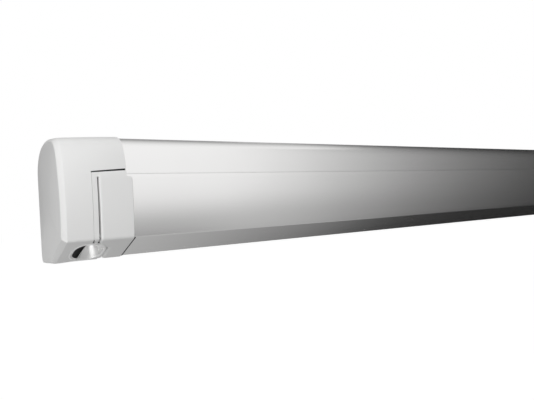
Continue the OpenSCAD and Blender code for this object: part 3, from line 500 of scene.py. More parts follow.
NOSE_IN = 5.0
NOSE_L = 5.2
NOSE_STEPS = 8
NOSE_POWER = 1.15
NOSE_LESS = (0.55, 0.12, 0.8)
NOSE_LIP_Y = -80.0
NOSE_LIP_RUN = 6.1
CREST = 1.4
CREST_Y = -25.0
CREST_HALF = 14.0
BULGE = 1.9
BULGE_Y = -48.0
BULGE_HALF = 15.0
FLOOR_FALL = 2.0
END_LEAN = tan(radians(0.4))
END_CROWN = 2.2
END_MID = (-46.0, 12.0)
END_SHARES = (0.86, 0.66, 0.42, 0.18)
BACK_E = 57.4
TONGUE_E = 47.5
LAND_E = 50.4
TONGUE_R = 16.5
LAND_R = 3.3
LAND_LEAN = 0.6
CAP_STOPS = (7.5, 11.0, 14.0, SKIRT_E, 46.5, TONGUE_E, 48.6, 49.6, 50.1, LAND_E, BACK_E, 60.0, 63.0, COVER_E)
MOUTH_ANGLES = (0, 15, 30, 45, 60, 75, 105, 120, 135, 165, 180)
WALL_FOOT_Z = -24.5
ROOF_END_Y = -9.8
ROOF_END = degrees(acos((ROOF_END_Y - REAR_TOP[0]) / REAR_TOP_R))
COVER_END = degrees(asin((COVER_LOW_Z - REAR_TOP[1]) / REAR_TOP_R))

# How far the stretches of the cap's section that go on past the skirt reach, and those of the mouth's tongue
REACH = dict.fromkeys(("brow", "front_top", "roof", "rear_top"), COVER_E)
REACH |= dict.fromkeys(("rear_mid", "rear_low", "wall", "wall_foot", "rear_bottom"), BACK_E)
TONGUE_REACH = dict.fromkeys(("floor", "keel"), TONGUE_E)
TONGUE_REACH |= dict.fromkeys(("slope_rear", "mouth", "lip_front"), LAND_E)

# Where the cap's soft forms set in and where they are full, along e, y or z
ROOF_FORM_Z = (55.0, 75.0)
FLOOR_FORM_Z = (-30.0, -45.0)
FLOOR_NOSE_Y = (-62.0, -42.0)
FLOOR_FALL_Y = (-50.0, -7.0)
REAR_NOSE_Y = (-30.0, REAR_Y)
SHORT_Z = (45.0, 80.0)
SHORT_E = (60.0, 66.0)
PILLOW_POWER = 1.3
KEEL_LIFT = 0.6
KEEL_LIFT_E = (8.0, 24.0)
KEEL_LIFT_Z = (-40.0, -48.0)
ROOF_DROP = 2.5
ROOF_DROP_Z = (10.0, 80.0)
FRONT_BACK = 0.6
FRONT_BACK_MORE = 4.6
FRONT_BACK_E = (60.0, 4.0)
FRONT_BACK_Y = (-50.0, FRONT_Y)
FRONT_BACK_Z = (0.0, 60.0)


def front_edge(e, ring_r, corner_r):
    """Front edge of a round about the crank mouth that runs out in a small round beside it."""
    ring = CRANK_Y - round_reach(e, ring_r, CRANK_E)
    corner = LAND_MID[1] - round_reach(e, corner_r, LAND_MID[0])
    return min(ring, corner) if e < CRANK_E + ring_r else corner


def slope_rows(e):
    """Rows of the slope behind and before the mouth: its rear edge, front edge and the tongue's front."""
    half = round_reach(e, MOUTH_R, CRANK_E)
    rear = CRANK_BACK_Y + half
    front = CRANK_Y - half
    if e > CRANK_E + MOUTH_R:
        front = CRANK_Y + LAND_LEAN * (e - CRANK_E - MOUTH_R)
    if e > SKIRT_E:
        return rear, front, front_edge(e, TONGUE_R, LAND_R)
    return rear, front, NOSE_LIP_Y - NOSE_LIP_RUN * ramp(e, NOSE_L, SKIRT_E)


def cap_form(e, inset, y, z):
    """Soft forms of the cap's section: the roof's crest, the bulge over the nose and the falling floor."""
    rear_less, top_less, floor_less = [inset * share for share in NOSE_LESS]
    bevel = inset / NOSE_IN
    crest = CREST * (1 - bevel) * ramp(e, COVER_E, 0.0) * exp(-((y - CREST_Y) / CREST_HALF) ** 2)
    bulge = BULGE * 4 * bevel * (1 - bevel) * exp(-((y - BULGE_Y) / BULGE_HALF) ** 2)
    up = (top_less + crest + bulge) * ramp(z, *ROOF_FORM_Z)
    down = floor_less * ramp(y, *FLOOR_NOSE_Y) + FLOOR_FALL * ramp(y, *FLOOR_FALL_Y)
    return y + rear_less * ramp(y, *REAR_NOSE_Y), z + up - down * ramp(z, *FLOOR_FORM_Z)


def cap_ring(e, inset):
    """Closed section of an end cap, as points with the name of the stretch that starts at each."""
    front = FRONT_Y + inset
    rear = REAR_Y - inset
    roof = TOP_Z - inset
    floor = BOTTOM_Z + inset
    split = split_z(e)
    rear_r = REAR_TOP_R - inset
    edge = edge_arc(inset, max(EDGE_R - inset, EDGE_LEAST_R), EDGE_STEPS)
    keel_r = KEEL_R - inset
    keel_y = FRONT_Y + (inset - (floor - SLOPE_TOP_Z) * cos(TILT)) / sin(TILT)
    keel_mid = (keel_y + keel_r * tan(TILT / 2), floor + keel_r)
    keel = arc(keel_mid, keel_r, 270, 270 - TILT_DEG, 4)
    mouth_rear, mouth_front, lip = slope_rows(e)

    def slope_line(start, stop, steps):
        return [(y, slope_z(y, inset)) for y in spaced(start, stop, steps)]

    stretches = [
        ("edge", edge),
        ("front", line(edge[-1], (front, split), 14)),
        ("brow", line((front, split), (front, FRONT_TOP[1]), 2)),
        ("front_top", arc(FRONT_TOP, FRONT_TOP_R - inset, 180, 90, 16)),
        ("roof", line((FRONT_TOP[0], roof), (REAR_TOP[0], roof), 3)),
        ("rear_top", arc(REAR_TOP, rear_r, 90, ROOF_END, 8)),
        ("rear_mid", arc(REAR_TOP, rear_r, ROOF_END, COVER_END, 6)),
        ("rear_low", arc(REAR_TOP, rear_r, COVER_END, 0, 1)),
        ("wall", line((rear, REAR_TOP[1]), (rear, WALL_FOOT_Z), 8)),
        ("wall_foot", line((rear, WALL_FOOT_Z), (rear, CAP_BOTTOM[1]), 2)),
        ("rear_bottom", arc(CAP_BOTTOM, CAP_BOTTOM_R - inset, 0, -90, 8)),
        ("floor", line((CAP_BOTTOM[0], floor), keel[0], 4)),
        ("keel", keel),
        ("slope_rear", slope_line(keel[-1][0], mouth_rear, 3)),
        ("mouth", slope_line(mouth_rear, mouth_front, 3)),
        ("lip_front", slope_line(mouth_front, lip, 2)),
        ("slope_front", slope_line(lip, edge[0][0], 2)),
    ]
    return [(name, cap_form(e, inset, *point)) for name, points in stretches for point in points[:-1]]


def cap_cell_kept(name, e0, e1, with_mouth):
    """Which cells of the cap's section are there between two lengths."""
    if e1 <= SKIRT_E + NEAR:
        return not (with_mouth and name == "mouth" and e0 >= CRANK_E - MOUTH_R - NEAR)
    if name == "mouth" and e0 < CRANK_E + MOUTH_R - NEAR:
        return False
    reach = REACH | TONGUE_REACH if with_mouth else REACH
    return e1 <= reach.get(name, 0.0) + NEAR


def pillow(e, y, z):
    """The cap narrows softly towards its end: the roof most, the front less and the underside least."""
    far = ramp(e, COVER_E, 0.0) ** PILLOW_POWER
    near = ramp(e, *FRONT_BACK_E) ** 2
    up = KEEL_LIFT * smooth(e, *KEEL_LIFT_E) * ramp(z, *KEEL_LIFT_Z)
    down = ROOF_DROP * far * ramp(z, *ROOF_DROP_Z)
    back = (FRONT_BACK + FRONT_BACK_MORE * ramp(z, *FRONT_BACK_Z) ** PILLOW_POWER) * near
    return y + back * ramp(y, *FRONT_BACK_Y), z + up - down


def end_cap_mesh(with_mouth):
    """Shell of an end cap: its nose, its skirt, the cover over the roof and the crowned end face."""
    columns = []
    for k in range(NOSE_STEPS + 1):
        turn = pi / 2 * k / NOSE_STEPS
        rise = sin(turn) ** (2 / NOSE_POWER)
        run = 1 - cos(turn) ** (2 / NOSE_POWER)
        columns.append((NOSE_IN * (1 - rise), run, NOSE_L))
    around = [CRANK_E - MOUTH_R * cos(radians(a)) for a in MOUTH_ANGLES]
    columns += [(0.0, 1.0, e) for e in sorted([*CAP_STOPS, *around])]
    names = [name for name, point in cap_ring(NOSE_L, 0.0)]
    count = len(names)
    verts = []
    for inset, run, e in columns:
        for name, (y, z) in cap_ring(e, inset):
            face_e = END_LEAN * (TOP_Z - z)
            short = COVER_SHORT * ramp(z, *SHORT_Z) * ramp(e, *SHORT_E)
            verts.append(place(mix(face_e, e, run) - short, *pillow(e, y, z)))

    def kept(i, j):
        start = columns[i][2] if i >= NOSE_STEPS else 0.0
        return cap_cell_kept(names[j], start, columns[i + 1][2], with_mouth)

    faces = grid_faces(len(columns), count, kept=kept)
    rim = [pillow(NOSE_L, *point) for name, point in cap_ring(NOSE_L, NOSE_IN)]
    inner = range(count)
    for share in END_SHARES:
        ring = range(len(verts), len(verts) + count)
        for rim_y, rim_z in rim:
            y = mix(END_MID[0], rim_y, share)
            z = mix(END_MID[1], rim_z, share)
            verts.append(place(END_LEAN * (TOP_Z - z) - END_CROWN * (1 - share ** 2), y, z))
        faces += band_faces(ring, inner)
        inner = ring
    faces.append(tuple(inner))
    return verts, faces


def add_end_caps():
    for side, with_mouth in (("left", True), ("right", False)):
        verts, faces = end_cap_mesh(with_mouth)
        piece = new_piece(f"{side}_cap_shell", on_side(side, verts), faces, "cap_plastic")
        thicken(piece, thickness=1.2, edge=0.4)
        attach(piece, "cassette")
        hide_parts(f"{side}_end_cap")


BACK_WEB_IN = 0.8
BACK_WEB_E = (BACK_E - 1.5, BACK_E - 0.1)
BACK_WEB_Y = -9.9
BACK_WEB_FOOT = ((-11.0, BOTTOM_Z + BACK_WEB_IN), (-11.0, BOTTOM_Z + 2.0), (BACK_WEB_Y, BOTTOM_Z + 2.4))
BACK_WEB_DROP = 1.0


def add_back_webs():
    """Rib that closes each end cap's back against the housing's wall."""
    outer = arc(REAR_TOP, REAR_TOP_R - BACK_WEB_IN, ROOF_END, 0, 10)
    outer += arc(CAP_BOTTOM, CAP_BOTTOM_R - BACK_WEB_IN, 0, -90, 6)
    section = outer + [*BACK_WEB_FOOT, (BACK_WEB_Y, outer[0][1] - BACK_WEB_DROP)]
    verts = [place(e, *pillow(e, y, z)) for e in BACK_WEB_E for y, z in section]
    faces = prism_faces(2, len(section))
    for side in ("left", "right"):
        piece = new_piece(f"{side}_cap_back_web", on_side(side, verts), faces, "cap_plastic")
        soften(piece, edge=0.2)
        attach(piece, "cassette")


# Crank mouth: a lip and a scooped cup in a paler plastic that paints light on them, and a dark sleeve behind
# it

# Points round the mouth, as the middle of their half circle and the turn about it
MOUTH_PATH = [(CRANK_BACK_Y, turn) for turn in spaced(0.0, pi, 24)]
MOUTH_PATH += [(CRANK_Y, turn) for turn in spaced(pi, 2 * pi, 24)]

# Lip's section as reach out of the mouth and height, on its plain side and at the bead opposite
LIP_PLAIN = ((2.3, -0.1), (2.2, 0.08), (1.9, 0.15), (0.9, 0.15), (0.45, 0.08), (0.12, -0.2), (0.0, -0.7))
LIP_BEAD = ((4.0, -0.1), (3.7, 0.6), (3.0, 1.1), (1.6, 1.3), (0.8, 1.0), (0.2, 0.2), (0.0, -0.7))

SCOOP_E = 24.8
SCOOP_Z = -45.8
SCOOP_RISE = 1 / 0.79
SCOOP_LEAST = 0.4
SCOOP_MOST = 24.0
CUP_RISES = (0.0, 0.1, 0.3, 0.6, 0.9, 1.0)
CUP_FOOT = 0.55
CUP_IN = 0.05
CUP_DRAFT = 0.8
CUP_TAPER = 5.5
CUP_RISE_POWER = 1.4
CUP_SIDE_POWER = 1.6
SLEEVE_GROW = 1.3
SLEEVE_RISES = (0.8, 12.0)
SLEEVE_TOP_Z = -5.0
SLEEVE_BORE = 0.5


def mouth_point(mid, turn, grow):
    """Point of the slot-shaped mouth's plan, grown outwards."""
    radius = MOUTH_R + grow
    return CRANK_E + radius * cos(turn), mid + radius * sin(turn)


def lip_points():
    verts = []
    for (reach, height), (bead_reach, bead_height) in zip(LIP_PLAIN, LIP_BEAD):
        for mid, turn in MOUTH_PATH:
            bead = max(cos(turn), 0.0) ** 2
            e, y = mouth_point(mid, turn, mix(reach, bead_reach, bead))
            verts.append(place(e, y, slope_z(y) - mix(height, bead_height, bead) / cos(TILT)))
    return verts


def cup_points():
    verts = []
    for rise in CUP_RISES:
        for mid, turn in MOUTH_PATH:
            right = (1 + cos(turn)) / 2
            taper = CUP_TAPER * rise ** CUP_RISE_POWER * right ** CUP_SIDE_POWER
            e, y = mouth_point(mid, turn, -CUP_IN - CUP_DRAFT * rise - taper)
            foot = slope_z(y) + CUP_FOOT
            height = clamp(SCOOP_Z + (e - SCOOP_E) * SCOOP_RISE - foot, SCOOP_LEAST, SCOOP_MOST)
            verts.append(place(e, y, foot + height * rise))
    return verts


def sleeve_points():
    outline = [mouth_point(mid, turn, SLEEVE_GROW) for mid, turn in MOUTH_PATH]
    verts = [place(e, y, slope_z(y) + rise) for rise in SLEEVE_RISES for e, y in outline]
    verts += [place(e, y, SLEEVE_TOP_Z) for e, y in outline]
    for mid, turn in MOUTH_PATH:
        e, y = mouth_point(mid, turn, 0.0)
        verts.append(place(mix(CRANK_E, e, SLEEVE_BORE), mix(CRANK_Y, y, SLEEVE_BORE), SLEEVE_TOP_Z))
    return verts


def add_crank_mouth():
    count = len(MOUTH_PATH)
    # The lip and the cup take the paler plastic that paints light on them
    for name, verts, material, slot, thickness, edge in (
            ("lip", lip_points(), "painted_light_cup_plastic", "cap_plastic", 0.6, 0.15),
            ("cup", cup_points(), "painted_light_cup_plastic", "cap_plastic", 0.5, 0.12),
            ("sleeve", sleeve_points(), "sleeve_plastic", "dark_plastic", 0.6, 0.15)):
        faces = grid_faces(len(verts) // count, count)
        piece = new_piece(f"crank_mouth_{name}", verts, faces, material)
        thicken(piece, thickness, edge)
        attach(piece, "cassette")


# Lead-rail caps

RAIL_CAP_E = 30.85
RAIL_CAP_END = 72.4
RAIL_CAP_TOP_Z = 40.6
BAND_ROUND = 7.0
BAND_PAD_IN = 1.6
BAND_STRIP_IN = 0.4
PAD_TOP_Z = 36.4
PAD_R = 2.0
PAD_UP = 0.35
PAD_END_ROUND = 0.6
PAD_END_IN = 0.35
PAD_CORNER_R = 3.0
PAD_CORNER_Z = (26.0, PAD_TOP_Z)
STRIP_IN = 0.15
STRIP_TUCK = 1.5
STRIP_TUCK_Z = (SLOPE_TOP_Z + 1.0, SLOPE_TOP_Z - 1.5)
SLIT_E = 36.4
SLIT_DEPTH = 7.0
SLIT_END = 2.0
SLIT_WIDTH = 1.8
SLIT_NARROWS = 0.6
NOTCH_E = 51.1
NOTCH_R = 17.2
NOTCH_CORNER_R = 4.0
NOTCH_LIP_IN = 3.2
NOTCH_LIP_ROUND = 4.4
NOTCH_LIP_Y = (LAND_MID[1] - 5.5, LAND_MID[1] - 2.0)

# Stops of the cap's mesh: along the awning from the strip to the far end, and down the front
STRIP_STOPS = (0.0, 0.6, 1.8, 3.2, 4.4, 5.0)
SLIT_EDGE_SHARES = (0.001, 0.05, 0.14, 0.27, 0.44, 0.68)
PAD_STOPS = (40.4, 41.5, 43.5, 45.5, 47.0, 48.1, 49.0, 49.8, 50.5, 50.9, NOTCH_E, 51.5, 52.1, 52.9, 54.0,
             55.5, 58.0, 62.0, COVER_E, 68.0, 69.4, 70.2, 70.8, 71.3, 71.8, 72.2, RAIL_CAP_END)
BAND_SHARES = (0.0, 0.05, 0.12, 0.24, 0.42, 0.62, 0.82)
PAD_DROPS = (0.0, 0.6, 1.2, 1.8, 2.6, 4.0, 7.0)
FRONT_HEIGHTS = (22.0, 14.0, 4.0, -6.0, -14.0)
EDGE_LEAD = 1.0
SLOPE_STEPS = 5
BACK_STEPS = 4


def slit_width(z):
    return SLIT_WIDTH - SLIT_NARROWS * ramp(z, SLOPE_TOP_Z, PAD_TOP_Z)


def pad_sink(share, e, y, z):
    """How far the surface lies in from the cap's section. share runs across the slit and the pad's left edge:
    below 0 is the strip, 0 to 1 the slit, 1 to 2 the pad's rounded edge and 2 the pad."""
    band = 1.0 - rounding((RAIL_CAP_TOP_Z + SPLIT_RISE * (e - RAIL_CAP_E) - z) / BAND_ROUND)
    pad = BAND_PAD_IN * band - PAD_UP
    strip = STRIP_IN + BAND_STRIP_IN * band
    deep = strip + SLIT_DEPTH * (1.0 - smooth(z, PAD_TOP_Z - SLIT_END, PAD_TOP_Z))
    if share < 0:
        return strip
    if share <= 1:
        return deep
    if share < 2:
        return min(deep, pad + PAD_R * (1 - rounding(share - 1)))
    end = PAD_END_IN * (1.0 - rounding((RAIL_CAP_END - e) / PAD_END_ROUND))
    if z >= SLOPE_TOP_Z:
        return pad + end
    lip = NOTCH_LIP_IN * smooth(y, *NOTCH_LIP_Y) * (1.0 - rounding((e - NOTCH_E) / NOTCH_LIP_ROUND))
    return pad + end + lip


def rail_cap_rows(e, with_notch):
    """Points down the front, round the edge and along the slope, each with its outward direction."""
    edge = edge_arc(0.0, EDGE_R, EDGE_STEPS)
    heights = [mix(RAIL_CAP_TOP_Z, PAD_TOP_Z, share) for share in BAND_SHARES]
    heights += [PAD_TOP_Z - drop for drop in PAD_DROPS]
    heights += [*FRONT_HEIGHTS, edge[-1][1] + EDGE_LEAD, edge[-1][1]]
    rows = [((FRONT_Y, z), Vector((-1, 0))) for z in heights]
    for i, point in enumerate(reversed(edge[:-1])):
        a = pi + (pi / 2 - TILT) * (i + 1) / EDGE_STEPS
        rows.append((point, Vector((cos(a), sin(a)))))
    in_notch = with_notch and e < NOTCH_E
    stop = front_edge(e, NOTCH_R, NOTCH_CORNER_R) if in_notch else LAND_MID[1]
    along = spaced(edge[0][0], stop, SLOPE_STEPS)[1:] + spaced(stop, BAY_FRONT_Y, BACK_STEPS)[1:]
    out_slope = Vector((-sin(TILT), -cos(TILT)))
    return rows + [((y, slope_z(y)), out_slope) for y in along]


def rail_cap_point(share, e, y, z, out, with_notch):
    at_e = e
    if share < 0:
        at_e = e + STRIP_TUCK * (SLIT_E - e) / (SLIT_E - RAIL_CAP_E) * smooth(z, *STRIP_TUCK_Z)
    elif 0 < share < 2:
        at_e = SLIT_E + slit_width(z) + PAD_R * (share - 1)
    if z > PAD_TOP_Z:
        rise = (z - PAD_TOP_Z) / (RAIL_CAP_TOP_Z - PAD_TOP_Z)
        down = -SPLIT_RISE * max(at_e - SKIRT_E, 0.0) * rise
    else:
        corner_e = RAIL_CAP_END - PAD_CORNER_R
        corner = PAD_CORNER_R - round_reach(max(e, corner_e), PAD_CORNER_R, corner_e)
        down = corner * smooth(z, *PAD_CORNER_Z)
    sink = pad_sink(share, at_e, y if with_notch else FRONT_Y, z)
    return place(at_e, y - sink * out.x, z - down - sink * out.y)


def rail_cap_mesh(with_notch):
    """Shell of a lead-rail cap: the strip by the end cap, the slit and the raised pad, down to the slope."""
    across = [(-1, RAIL_CAP_E + run) for run in STRIP_STOPS]
    across += [(0, SLIT_E), (1, SLIT_E)]
    across += [(1 + share, SLIT_E) for share in SLIT_EDGE_SHARES]
    across += [(2, e) for e in PAD_STOPS]
    verts = []
    for share, e in across:
        for (y, z), out in rail_cap_rows(e, with_notch):
            verts.append(rail_cap_point(share, e, y, z, out, with_notch))
    count = len(verts) // len(across)

    def kept(i, j):
        e = across[i][1]
        if e >= COVER_E - NEAR and j < len(BAND_SHARES):
            return False
        return not (with_notch and e < NOTCH_E - NEAR and j >= count - 1 - BACK_STEPS)

    return verts, grid_faces(len(across), count, closed=False, kept=kept)


RAIL_WEB_E = (51.8, 53.7)
RAIL_WEB_FRONT_Y = FRONT_Y + 4.4
RAIL_WEB_LEDGE_Y = FRONT_Y + 12.0
RAIL_WEB_TOP_Z = RAIL_CAP_TOP_Z - 1.0
RAIL_WEB_SLOPE_IN = 2.4
RAIL_WEB_KEEL_Y = SLOPE_BACK_Y - 2.0


def add_rail_caps():
    """Cap on each end of the lead rail, with the web behind it that closes the rail's hollow."""
    wall = [(RAIL_WEB_FRONT_Y, RAIL_WEB_TOP_Z), (RAIL_WEB_LEDGE_Y, RAIL_WEB_TOP_Z)]
    wall += [(RAIL_WEB_LEDGE_Y, SHELF_TOP_Z), (SHELF_BACK_Y, SHELF_TOP_Z), (SHELF_BACK_Y, BAY_LOW_Z)]
    wall += [(RAIL_WEB_KEEL_Y, BAY_LOW_Z), (RAIL_WEB_FRONT_Y, slope_z(RAIL_WEB_FRONT_Y, RAIL_WEB_SLOPE_IN))]
    plate = [place(e, y, z) for e in RAIL_WEB_E for y, z in wall]
    for side, with_notch in (("left", True), ("right", False)):
        verts, faces = rail_cap_mesh(with_notch)
        piece = new_piece(f"{side}_rail_cap_shell", on_side(side, verts), faces, "cap_plastic")
        thicken(piece, thickness=1.4, edge=0.3, even=False)
        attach(piece, "lead_rail")
        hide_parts(f"{side}_rail_cap")
        web_faces = prism_faces(2, len(wall))
        web = new_piece(f"{side}_rail_cap_web", on_side(side, plate), web_faces, "cap_plastic")
        soften(web, edge=0.4)
        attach(web, "lead_rail")


# Section of the dark strip that paints the shade in the gap: y, and height over the cover's lower edge less
# the drop
GAP_SHADE_SECTION = ((-91.3, -1.4), (-91.9, -1.1), (-92.05, 0.0), (-91.9, 0.9), (-91.3, 1.3), (-90.2, 1.3),
                  (-90.2, -1.4))
GAP_SHADE_DROP = 0.9
GAP_SHADE_SHORT = 0.4
GAP_SHADE_STEPS = 8


def add_gap_shade_strips():
    """Dark rubber strip behind the gap between an end cap's cover and the lead-rail cap: painted shade in the
    gap.
    """
    stops = spaced(RAIL_CAP_E, COVER_E - GAP_SHADE_SHORT, GAP_SHADE_STEPS)
    verts = [place(e, *pillow(e, y, split_z(e) - GAP_SHADE_DROP + z)) for e in stops for y, z in GAP_SHADE_SECTION]
    faces = prism_faces(len(stops), len(GAP_SHADE_SECTION))
    for side in ("left", "right"):
        piece = new_piece(f"{side}_gap_shade_strip", on_side(side, verts), faces, "rubber")
        soften(piece, edge=0.1)
        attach(piece, "cassette")


# Stops of the dark strip that paints the cap's shadow, past the end of the lead-rail cap, each with its
# height over the extrusion
SHADOW_STRIP_STOPS = ((-0.5, 0.5), (1.5, 0.45), (2.2, 0.15))
SHADOW_STRIP_FORWARD = 0.12
SHADOW_STRIP_EDGE_POINTS = 5


def add_rail_cap_shadow_strips():
    """Dark rubber strip on the sloping underside where the lead-rail cap meets the extrusion: painted shadow
    of the cap's edge.
    """
    edge = edge_arc(RAIL_FRONT_IN, RAIL_EDGE_R, EDGE_STEPS, RAIL_SLOPE_IN)
    path = edge[:SHADOW_STRIP_EDGE_POINTS][::-1]
    path += line(path[-1], (BAY_FRONT_Y, slope_z(BAY_FRONT_Y, RAIL_SLOPE_IN)), 6)[1:]
    verts = [place(RAIL_CAP_END + run, y - SHADOW_STRIP_FORWARD, z - lift)
             for run, lift in SHADOW_STRIP_STOPS for y, z in path]
    faces = grid_faces(len(SHADOW_STRIP_STOPS), len(path), closed=False)
    for side in ("left", "right"):
        piece = new_piece(f"{side}_rail_cap_shadow_strip", on_side(side, verts), faces, "rubber")
        thicken(piece, thickness=0.5, edge=0.1, even=False)
        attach(piece, "lead_rail")


# Extrusions

HOUSING_E = 57.0
LEAD_RAIL_E = 54.0
HOUSE_Y = -10.0
HOUSE_IN_Y = -12.0
HOOK_LOW_Z = 25.7
HOOK_HIGH_Z = 29.3
HOOK_FOOT_Z = 24.1
HOOK_TIP_LOW_Z = 33.8
HOOK_TIP_HIGH_Z = 35.4
HOOK_OUT_Y = -17.0
HOOK_IN_Y = -15.4
SEAM_LOW_Z = 38.78
SEAM_HIGH_Z = 38.82
LIP_R = 0.12
FLANGE_T = 2.0
ROOF_FLANGE = 6.0
RAIL_FLANGE = 5.0
ROOF_IN = 1.5
ROOF_PORT = (-74.9, 69.15)
WALL_PORT = (-16.0, 18.5)
PORT_R = 4.5
PORT_BORE = 2.5
RAIL_IN_Y = -88.8
RAIL_INNER_R = 0.6
BAY_T = 1.8
BAY_YS = (-17.1, -32.9)
BAY_LAP = 0.5
SHELF_T = 2.0
KEDER_MID = (-84.3, 5.19)
KEDER_R = 4.5
KEDER_BORE = 3.0
KEDER_SLOT_HALF = 0.9
KEDER_TURN = 10.0
KEDER_WEB_HALF = 2.25
KEDER_WEB_LAP = 3.2
PROFILE_SHARP_ANGLE = radians(28)


def ring_section(mid, outer, inner, gap_deg=0.0, turn=0.0, steps=40):
    """Round boss with a bore, closed or opened by a slot."""
    if not gap_deg:
        return [arc(mid, outer, 0, 360, steps)[:-1], arc(mid, inner, 0, 360, steps)[:-1]]
    half = gap_deg / 2
    wide = degrees(asin(sin(radians(half)) * outer / inner))
    return [arc(mid, outer, turn + half, turn + 360 - half, steps)
            + arc(mid, inner, turn + 360 - wide, turn + wide, steps)]


def box_section(y0, z0, y1, z1):
    return [[(y0, z0), (y1, z0), (y1, z1), (y0, z1)]]


def roof_skin(inset, y):
    """Roof from the front to where its rear curve reaches y."""
    radius = REAR_TOP_R - inset
    end = degrees(acos((y - REAR_TOP[0]) / radius))
    return arc(FRONT_TOP, FRONT_TOP_R - inset, 180, 90, 24) + arc(REAR_TOP, radius, 90, end, 20)


def wall_foot(inset, y):
    """Rounded foot of the rear wall, from where its curve leaves y."""
    radius = REAR_BOTTOM_R - inset
    start = -degrees(acos((y - REAR_BOTTOM[0]) / radius))
    return arc(REAR_BOTTOM, radius, start, -90, 8)


def housing_sections():
    """Roof, rear wall, hook for the wall brackets and two screw ports."""
    inner = ROOF_IN + PROFILE_T
    front = FRONT_Y + ROOF_IN
    lip = arc((front + LIP_R, SEAM_HIGH_Z + LIP_R), LIP_R, 270, 180, 4)
    roof = lip + line(lip[-1], (front, FRONT_TOP[1]), 6)[1:-1] + roof_skin(ROOF_IN, HOUSE_Y)
    roof += [(HOUSE_Y, HOOK_HIGH_Z), (HOUSE_IN_Y, HOOK_HIGH_Z)] + roof_skin(inner, HOUSE_IN_Y)[::-1]
    flange_y = RAIL_IN_Y + ROOF_FLANGE
    flange_z = SEAM_HIGH_Z + FLANGE_T
    roof += [(RAIL_IN_Y, flange_z), (flange_y, flange_z), (flange_y, SEAM_HIGH_Z)]
    wall = [(HOUSE_Y, HOOK_LOW_Z)] + wall_foot(ROOF_IN, HOUSE_Y) + wall_foot(inner, HOUSE_IN_Y)[::-1]
    wall += [(HOUSE_IN_Y, HOOK_LOW_Z)]
    hook = [(HOUSE_IN_Y, HOOK_FOOT_Z), (HOOK_OUT_Y, HOOK_FOOT_Z), (HOOK_OUT_Y, HOOK_TIP_HIGH_Z)]
    hook += [(HOUSE_IN_Y, HOOK_TIP_HIGH_Z), (HOUSE_IN_Y, HOOK_TIP_LOW_Z), (HOOK_IN_Y, HOOK_TIP_LOW_Z)]
    hook += [(HOOK_IN_Y, HOOK_LOW_Z), (HOUSE_IN_Y, HOOK_LOW_Z)]
    ports = [ring_section(mid, PORT_R, PORT_BORE) for mid in (ROOF_PORT, WALL_PORT)]
    return [[roof], [wall], [hook]] + ports


def lead_rail_sections():
    """Front and slope, the shelf with the bays for the legs, and the keder channel on its web."""
    inner = RAIL_SLOPE_IN + PROFILE_T
    front = FRONT_Y + RAIL_FRONT_IN
    lip = arc((front + LIP_R, SEAM_LOW_Z - LIP_R), LIP_R, 180, 90, 4)
    edge = edge_arc(RAIL_FRONT_IN, RAIL_EDGE_R, EDGE_STEPS, RAIL_SLOPE_IN)
    inner_edge = edge_arc(RAIL_FRONT_IN + PROFILE_T, RAIL_INNER_R, 3, inner)
    flange_y = RAIL_IN_Y + RAIL_FLANGE
    flange_z = SEAM_LOW_Z - FLANGE_T
    skin = [(BAY_FRONT_Y, slope_z(BAY_FRONT_Y, RAIL_SLOPE_IN))] + edge
    skin += line(edge[-1], lip[0], 12)[1:-1] + lip
    skin += [(flange_y, SEAM_LOW_Z), (flange_y, flange_z), (RAIL_IN_Y, flange_z)]
    skin += line((RAIL_IN_Y, flange_z), inner_edge[-1], 12)[1:-1] + inner_edge[::-1]
    skin += [(BAY_FRONT_Y, slope_z(BAY_FRONT_Y, inner))]
    shelf = box_section(RAIL_IN_Y, SHELF_TOP_Z - SHELF_T, SHELF_BACK_Y, SHELF_TOP_Z)
    web = box_section(RAIL_IN_Y, KEDER_MID[1] - KEDER_WEB_HALF,
                      KEDER_MID[0] - KEDER_WEB_LAP, KEDER_MID[1] + KEDER_WEB_HALF)
    slot_deg = 2 * degrees(asin(KEDER_SLOT_HALF / KEDER_R))
    keder = ring_section(KEDER_MID, KEDER_R, KEDER_BORE, slot_deg, KEDER_TURN)
    bays = [box_section(y, BAY_LOW_Z, y + BAY_T, SHELF_TOP_Z) for y in BAY_YS]
    bay_y = BAY_FRONT_Y - BAY_T
    bays.append(box_section(bay_y, slope_z(bay_y, RAIL_SLOPE_IN + BAY_LAP), BAY_FRONT_Y, SHELF_TOP_Z))
    return [[skin], shelf, web, keder] + bays


def extrude(name, sections, end_e, material):
    """Profile of outlines in Y and Z, some with a bore, drawn out along the awning."""
    verts = []
    faces = []
    for loops in sections:
        base = len(verts)
        size = sum(len(loop) for loop in loops)
        for e in (end_e, 2 * HALF_L - end_e):
            verts += [place(e, y, z) for loop in loops for y, z in loop]
        start = base
        for loop in loops:
            near = range(start, start + len(loop))
            faces += band_faces(near, range(near.start + size, near.stop + size))
            start = near.stop
        n = len(loops[0])
        for first in (base, base + size):
            outline = range(first, first + n)
            if len(loops) == 1:
                faces.append(tuple(outline))
            else:
                faces += band_faces(outline, range(first + n, first + 2 * n))
    piece = new_piece(name, verts, faces, material)
    piece.data.set_sharp_from_angle(angle=PROFILE_SHARP_ANGLE)
    return piece


def add_extrusions():
    housing = extrude("housing_profile", housing_sections(), HOUSING_E, "anodised")
    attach(housing, "cassette")
    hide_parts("housing")
    rail = extrude("lead_rail_profile", lead_rail_sections(), LEAD_RAIL_E, "anodised")
    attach(rail, "lead_rail")
    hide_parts("lead_rail")


# Cloth

